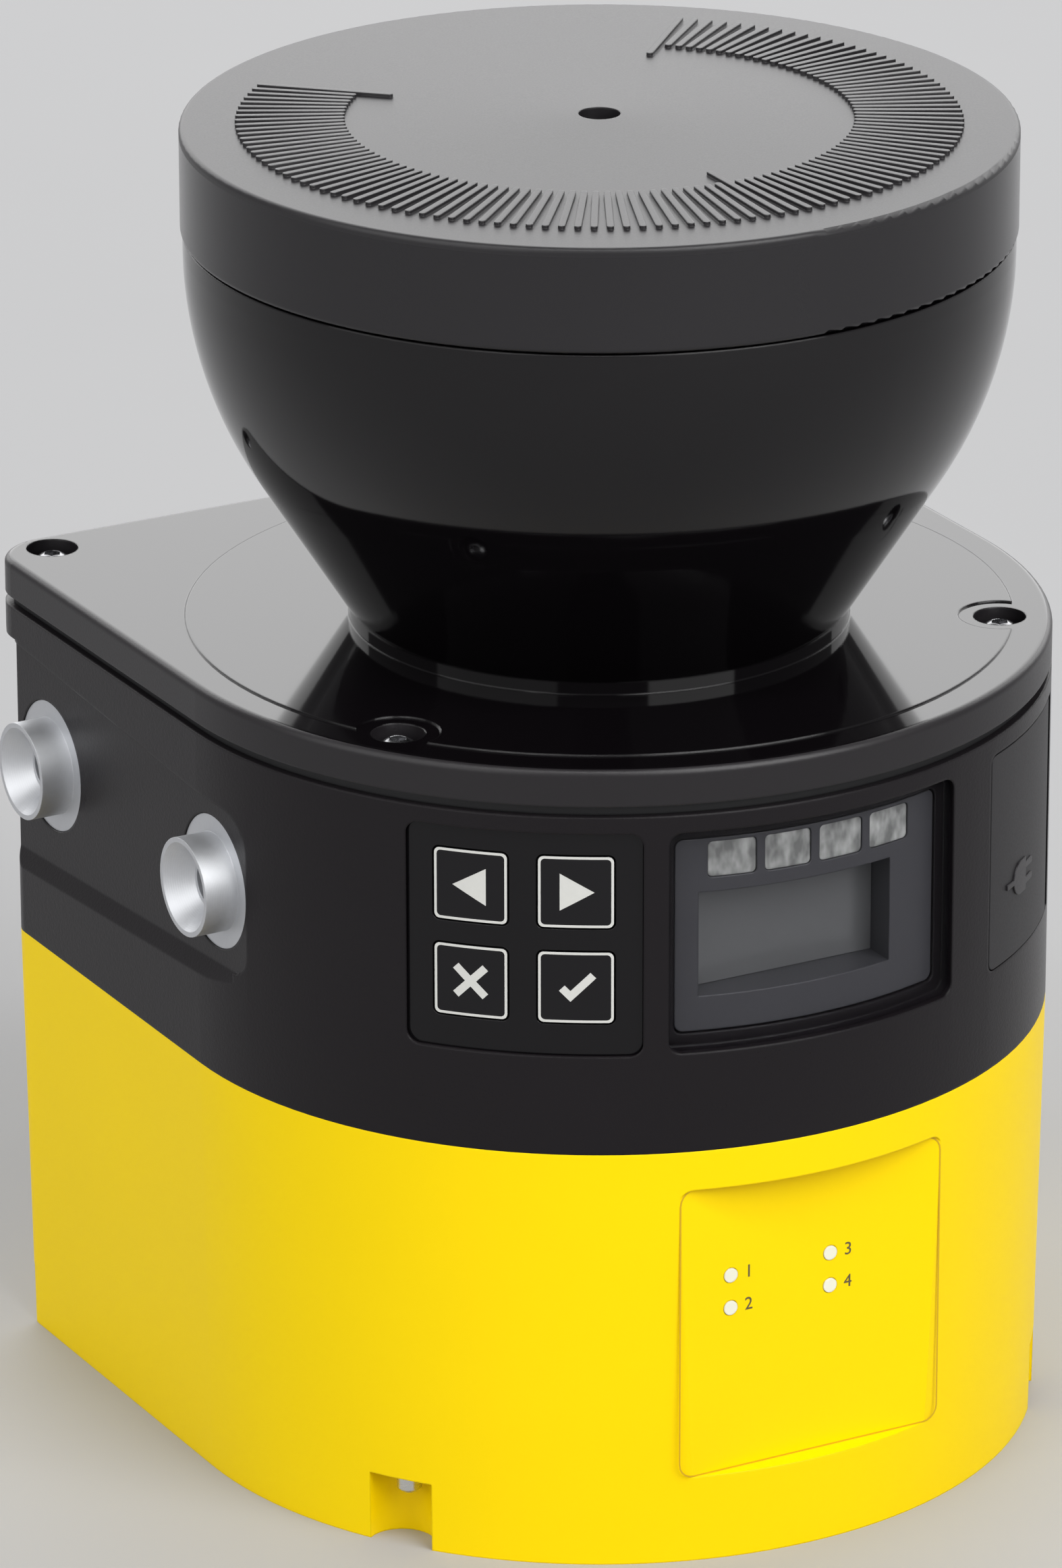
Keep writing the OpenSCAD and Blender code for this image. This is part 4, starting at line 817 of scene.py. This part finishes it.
class SCANNER_OT_finishes(bpy.types.Operator):
    """Gives every CAD node the finish of its material slot"""

    bl_idname = "scanner.finishes"
    bl_label = "Finishes"

    def execute(self, context):
        colours = context.scene.scanner_colours
        finishes = {**self.housings(colours), **self.display(colours), **self.inner_parts(),
                    **self.connectors()}
        for node, slot in SLOT_OF.items():
            NODES[node].data.materials[0] = finishes.get(node) or finishes[slot]
        return {"FINISHED"}

    def housings(self, c):
        flange_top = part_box("cover_screws")[1].z + GLOSS_ABOVE
        cap_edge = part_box("head_cap")[1].z - CAP_TOP
        return {
            "safety_yellow": powder_coat(
                "safety_yellow", c.base, roughness=0.42, grain=0.55 * MM, height=0.01 * MM,
                edge=0.3 * MM, spread=0.025, specular=0.11),
            "housing_black": powder_coat(
                "housing_black", c.housing, roughness=0.31, grain=0.4 * MM, height=0.022 * MM,
                edge=0.45 * MM, spread=0.1, specular=0.2),
            "dome_black": cover_finish("dome_black", c.dome, c.flange, gloss_from=flange_top),
            "cap_black": cap_finish("cap_black", c.cap, edge=cap_edge),
            "seal_rubber": rubber("seal_rubber", (0.008, 0.008, 0.009), roughness=0.62),
            "flap_rubber": rubber("flap_rubber", c.flap, roughness=0.5),
            "floor_black": moulded("floor_black", (0.03, 0.03, 0.032), roughness=0.5),
            "dark_steel": plain_metal("dark_steel", (0.32, 0.32, 0.33), roughness=0.26),
            "steel_bright": plain_metal("steel_bright", (0.66, 0.67, 0.68), roughness=0.28),
            "collar_aluminium": turned_metal("collar_aluminium", c.collar, roughness=0.52,
                                             pitch=0.22 * MM, height=0.004 * MM),
        }

    def display(self, c):
        low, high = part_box("display_module")
        return {
            "panel_gloss": gloss_film("panel_gloss", c.panel, edge=0.2 * MM),
            "key_black": gloss_film("key_black", c.key, edge=0.15 * MM),
            "window_glass": clear_pane("window_glass", c.window_tint, shine=0.01, rim=0.9 * MM),
            # Painted shade on the frame, darkest at the back of the display module and gone at its front.
            "frame_grey": frosted_frame("frame_grey", c.display_frame, recess_shade_from=-high.y,
                                        recess_shade_to=-low.y),
            "screen_grey": unlit_screen("screen_grey", c.screen),
            "clear_lens": clear_lens("clear_lens", (0.55, 0.56, 0.53)),
            "lens_white": moulded("lens_white", (0.8, 0.79, 0.64), roughness=0.35),
        }

    def inner_parts(self):
        return {
            "brass_plain": plain_metal("brass_plain", (0.72, 0.57, 0.27), roughness=0.3),
            "cast_plain": cast_metal("cast_plain", (0.55, 0.56, 0.57)),
            "laminations": plain_metal("laminations", (0.2, 0.2, 0.21), roughness=0.45),
            "carrier_black": moulded("carrier_black", (0.014, 0.014, 0.016), roughness=0.6),
            "mirror_face": mirror_finish("mirror_face", (0.9, 0.91, 0.93)),
            "lens_glass": clear_pane("lens_glass", (0.8, 0.84, 0.9), shine=0.03,
                                     rim=0.25 * MM),
            "board_green": solder_resist("board_green", (0.02, 0.11, 0.05)),
        }

    def connectors(self):
        nickel, gilt = (0.62, 0.63, 0.62), (0.8, 0.6, 0.25)
        power, network = middle("power_connector"), middle("network_connectors")
        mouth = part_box("power_connector")[1].y
        return {
            "connector_nickel": plain_metal("connector_nickel", nickel, roughness=0.3),
            "power_connector": socket_finish(
                "power_socket", nickel, (0.02, 0.02, 0.022), gilt, centres=[power.x],
                level=power.z, insert_r=POWER_INSERT, gilt_from=mouth - CONTACT_DEPTH),
            # One network socket stands on the middle line. Their contacts lie in holes, so
            # nothing is gilt: the level lies in front of the mouth.
            "network_connectors": socket_finish(
                "network_sockets", nickel, (0.05, 0.05, 0.055), gilt,
                centres=[0.0, 2 * network.x], level=power.z, insert_r=NETWORK_INSERT,
                gilt_from=mouth + 1 * MM),
        }


class SCANNER_OT_key_prints(bpy.types.Operator):
    """Prints a square and a sign on each key"""

    bl_idname = "scanner.key_prints"
    bl_label = "Key prints"

    def execute(self, context):
        sizes = context.scene.scanner_sizes
        ink = matt_print("key_print", context.scene.scanner_colours.prints)
        side, line, corner = sizes.key_frame, sizes.key_line, sizes.key_corner
        square = [rounded_box(side, side, corner),
                  rounded_box(side - 2 * line, side - 2 * line, corner - line / 2)]
        signs = {"key_left": arrow(sizes.key_sign, -1), "key_right": arrow(sizes.key_sign, 1),
                 "key_back": cross(CROSS_SHARE * sizes.key_sign, sizes.key_bar),
                 "key_confirm": tick(TICK_SHARE * sizes.key_sign, sizes.key_bar)}
        for key in KEYS:
            name = key + "_print"
            outwards = [-c for c in JOINTS[key + "_press"]["axis"]]
            bm = flat_mesh(outline_curve(name, square + [signs[key]], sizes.ink), name)
            wrap(bm, round_drum(azimuth_of(outwards), reach(key), middle(key).z), sizes.ink)
            finished(name, bm, ink, BODY_OF[key])
        return {"FINISHED"}


class SCANNER_OT_lamp_numbers(bpy.types.Operator):
    """Numbers the four lamps on the base"""

    bl_idname = "scanner.lamp_numbers"
    bl_label = "Lamp numbers"

    def execute(self, context):
        sizes = context.scene.scanner_sizes
        ink = matt_print("number_print", context.scene.scanner_colours.numbers)
        low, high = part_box("link_lenses")
        columns = (low.x + LENS_RADIUS, high.x - LENS_RADIUS)
        rows = (high.z - LENS_RADIUS, low.z + LENS_RADIUS)
        spots = [(x, z) for x in columns for z in rows]
        for number, (x, z) in zip("1234", spots):
            name = "lamp_number_" + number
            bm = flat_mesh(text_curve(name, number, sizes.number_height, sizes.ink), name)
            lay(bm, on_front(x + sizes.number_gap, low.y + LENS_STAND, z), sizes.ink)
            finished(name, bm, ink, BODY_OF["base_housing"])
        return {"FINISHED"}


class SCANNER_OT_field_groove_shade(bpy.types.Operator):
    """Draws the line round the flat field of the four lamps, as painted shade where its engraved outline runs"""

    bl_idname = "scanner.field_line"
    bl_label = "Field line"

    def execute(self, context):
        sizes = context.scene.scanner_sizes
        # Painted shade, drawn as a matt print in a darker yellow.
        ink = matt_print("field_groove_shade_paint", context.scene.scanner_colours.field_line)
        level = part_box("link_lenses")[0].y + LENS_STAND
        flat = [v.co for v in NODES["base_housing"].data.vertices
                if abs(v.co.y - level) < FLAT_TOLERANCE]
        x, z = [p.x for p in flat], [p.z for p in flat]
        width, height = max(x) - min(x), max(z) - min(z)
        line = sizes.field_line
        ring = [rounded_box(width, height, FIELD_CORNER),
                rounded_box(width - 2 * line, height - 2 * line, FIELD_CORNER - line)]
        bm = flat_mesh(outline_curve("field_line", ring, sizes.ink), "field_line")
        lay(bm, on_front((max(x) + min(x)) / 2, level, (max(z) + min(z)) / 2), sizes.ink)
        finished("field_line", bm, ink, BODY_OF["base_housing"])
        return {"FINISHED"}


class SCANNER_OT_flap_mark(bpy.types.Operator):
    """Puts a plug sign on the service flap"""

    bl_idname = "scanner.flap_mark"
    bl_label = "Flap mark"

    def execute(self, context):
        sizes = context.scene.scanner_sizes
        raised = rubber("flap_sign", context.scene.scanner_colours.flap_mark, roughness=0.36)
        azimuth = azimuth_of(JOINTS["usb_cover_hinge"]["pos_m"]) - FLAP_MARK_TURN
        radius = reach("usb_cover") - FLAP_MARK_SINK
        z = middle("usb_cover").z - sizes.plug_drop
        outline = outline_curve("flap_mark", [plug(sizes.plug_mark)], sizes.plug_relief)
        bm = flat_mesh(outline, "flap_mark")
        wrap(bm, round_drum(azimuth, radius, z), sizes.plug_relief)
        finished("flap_mark", bm, raised, "usb_cover")
        return {"FINISHED"}


class SCANNER_OT_threads(bpy.types.Operator):
    """Winds the threads in the mounting collars and on the connectors"""

    bl_idname = "scanner.threads"
    bl_label = "Threads"

    def execute(self, context):
        sizes = context.scene.scanner_sizes
        tree = thread_tree()
        mounts = {mount["name"]: mount for mount in frame["record"]["mounts"]}
        collars = [m for m in mounts.values() if m["kind"] == "threaded_hole"]
        spots = [self.inward(m["pos_m"], m["axis"], THREAD_LEAD) for m in collars]
        dims = collars[0]["dims"]
        self.wind("collar_threads", tree, spots, dims["r_mm"] * MM,
                  dims["length_mm"] * MM - 2 * THREAD_LEAD, sizes, "mounting_collars",
                  NODES["mounting_collars"].data.materials[0])
        mouths = {"power_plug": "power_connector", "network_port_1": "network_connectors",
                  "network_port_2": "network_connectors"}
        power = mounts["power_plug"]
        spots = []
        for name, node in mouths.items():
            x, _, z = mounts[name]["pos_m"]
            mouth = (x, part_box(node)[1].y, z)
            spots.append(self.inward(mouth, power["axis"], 2 * THREAD_LEAD))
        dims = power["dims"]
        # These threads take the frame's own material of that name, a plain nickel.
        self.wind("connector_threads", tree, spots, dims["r_mm"] * MM,
                  dims["length_mm"] * MM - 3 * THREAD_LEAD, sizes, "connector_plate",
                  bpy.data.materials["connector_nickel"])
        return {"FINISHED"}

    @staticmethod
    def inward(mouth, axis, lead):
        """Start and direction of a thread that begins a little below a mouth."""
        axis = Vector(axis)
        return Vector(mouth) - lead * axis, -axis

    @staticmethod
    def wind(name, tree, spots, radius, length, sizes, node, material):
        values = {"Radius": radius, "Pitch": sizes.thread_pitch, "Ridge": sizes.thread_ridge,
                  "Turns": length / sizes.thread_pitch, "Steps per turn": THREAD_STEPS,
                  "Finish": material}
        piece = wind_threads(name, tree, spots, values)
        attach(piece, BODY_OF[node])


class SCANNER_PT_panel(bpy.types.Panel):
    """Lists the pieces and the studio"""

    bl_idname = "SCANNER_PT_panel"
    bl_label = "Safety laser scanner"
    bl_space_type = "VIEW_3D"
    bl_region_type = "UI"
    bl_category = "Scanner"

    def draw(self, context):
        scene = context.scene
        for group in (scene.scanner_sizes, scene.scanner_colours, scene.scanner_stage):
            box = self.layout.box()
            for name in group.__annotations__:
                box.prop(group, name)
        for operator in OPERATORS:
            self.layout.operator(operator.bl_idname)


OPERATORS = (SCANNER_OT_stage, SCANNER_OT_finishes, SCANNER_OT_key_prints,
             SCANNER_OT_lamp_numbers, SCANNER_OT_field_groove_shade, SCANNER_OT_flap_mark,
             SCANNER_OT_threads)
GROUPS = {"scanner_sizes": ScannerSizes, "scanner_colours": ScannerColours,
          "scanner_stage": StageSettings}


def register():
    for kind in (*GROUPS.values(), *OPERATORS, SCANNER_PT_panel):
        bpy.utils.register_class(kind)
    for name, group in GROUPS.items():
        setattr(bpy.types.Scene, name, bpy.props.PointerProperty(type=group))


def unregister():
    for name in GROUPS:
        delattr(bpy.types.Scene, name)
    for kind in (SCANNER_PT_panel, *reversed(OPERATORS), *GROUPS.values()):
        bpy.utils.unregister_class(kind)


def main():
    register()
    bpy.ops.scanner.stage()
    bpy.ops.scanner.finishes()
    bpy.ops.scanner.key_prints()
    bpy.ops.scanner.lamp_numbers()
    bpy.ops.scanner.field_line()
    bpy.ops.scanner.flap_mark()
    bpy.ops.scanner.threads()


if __name__ == "__main__":
    main()
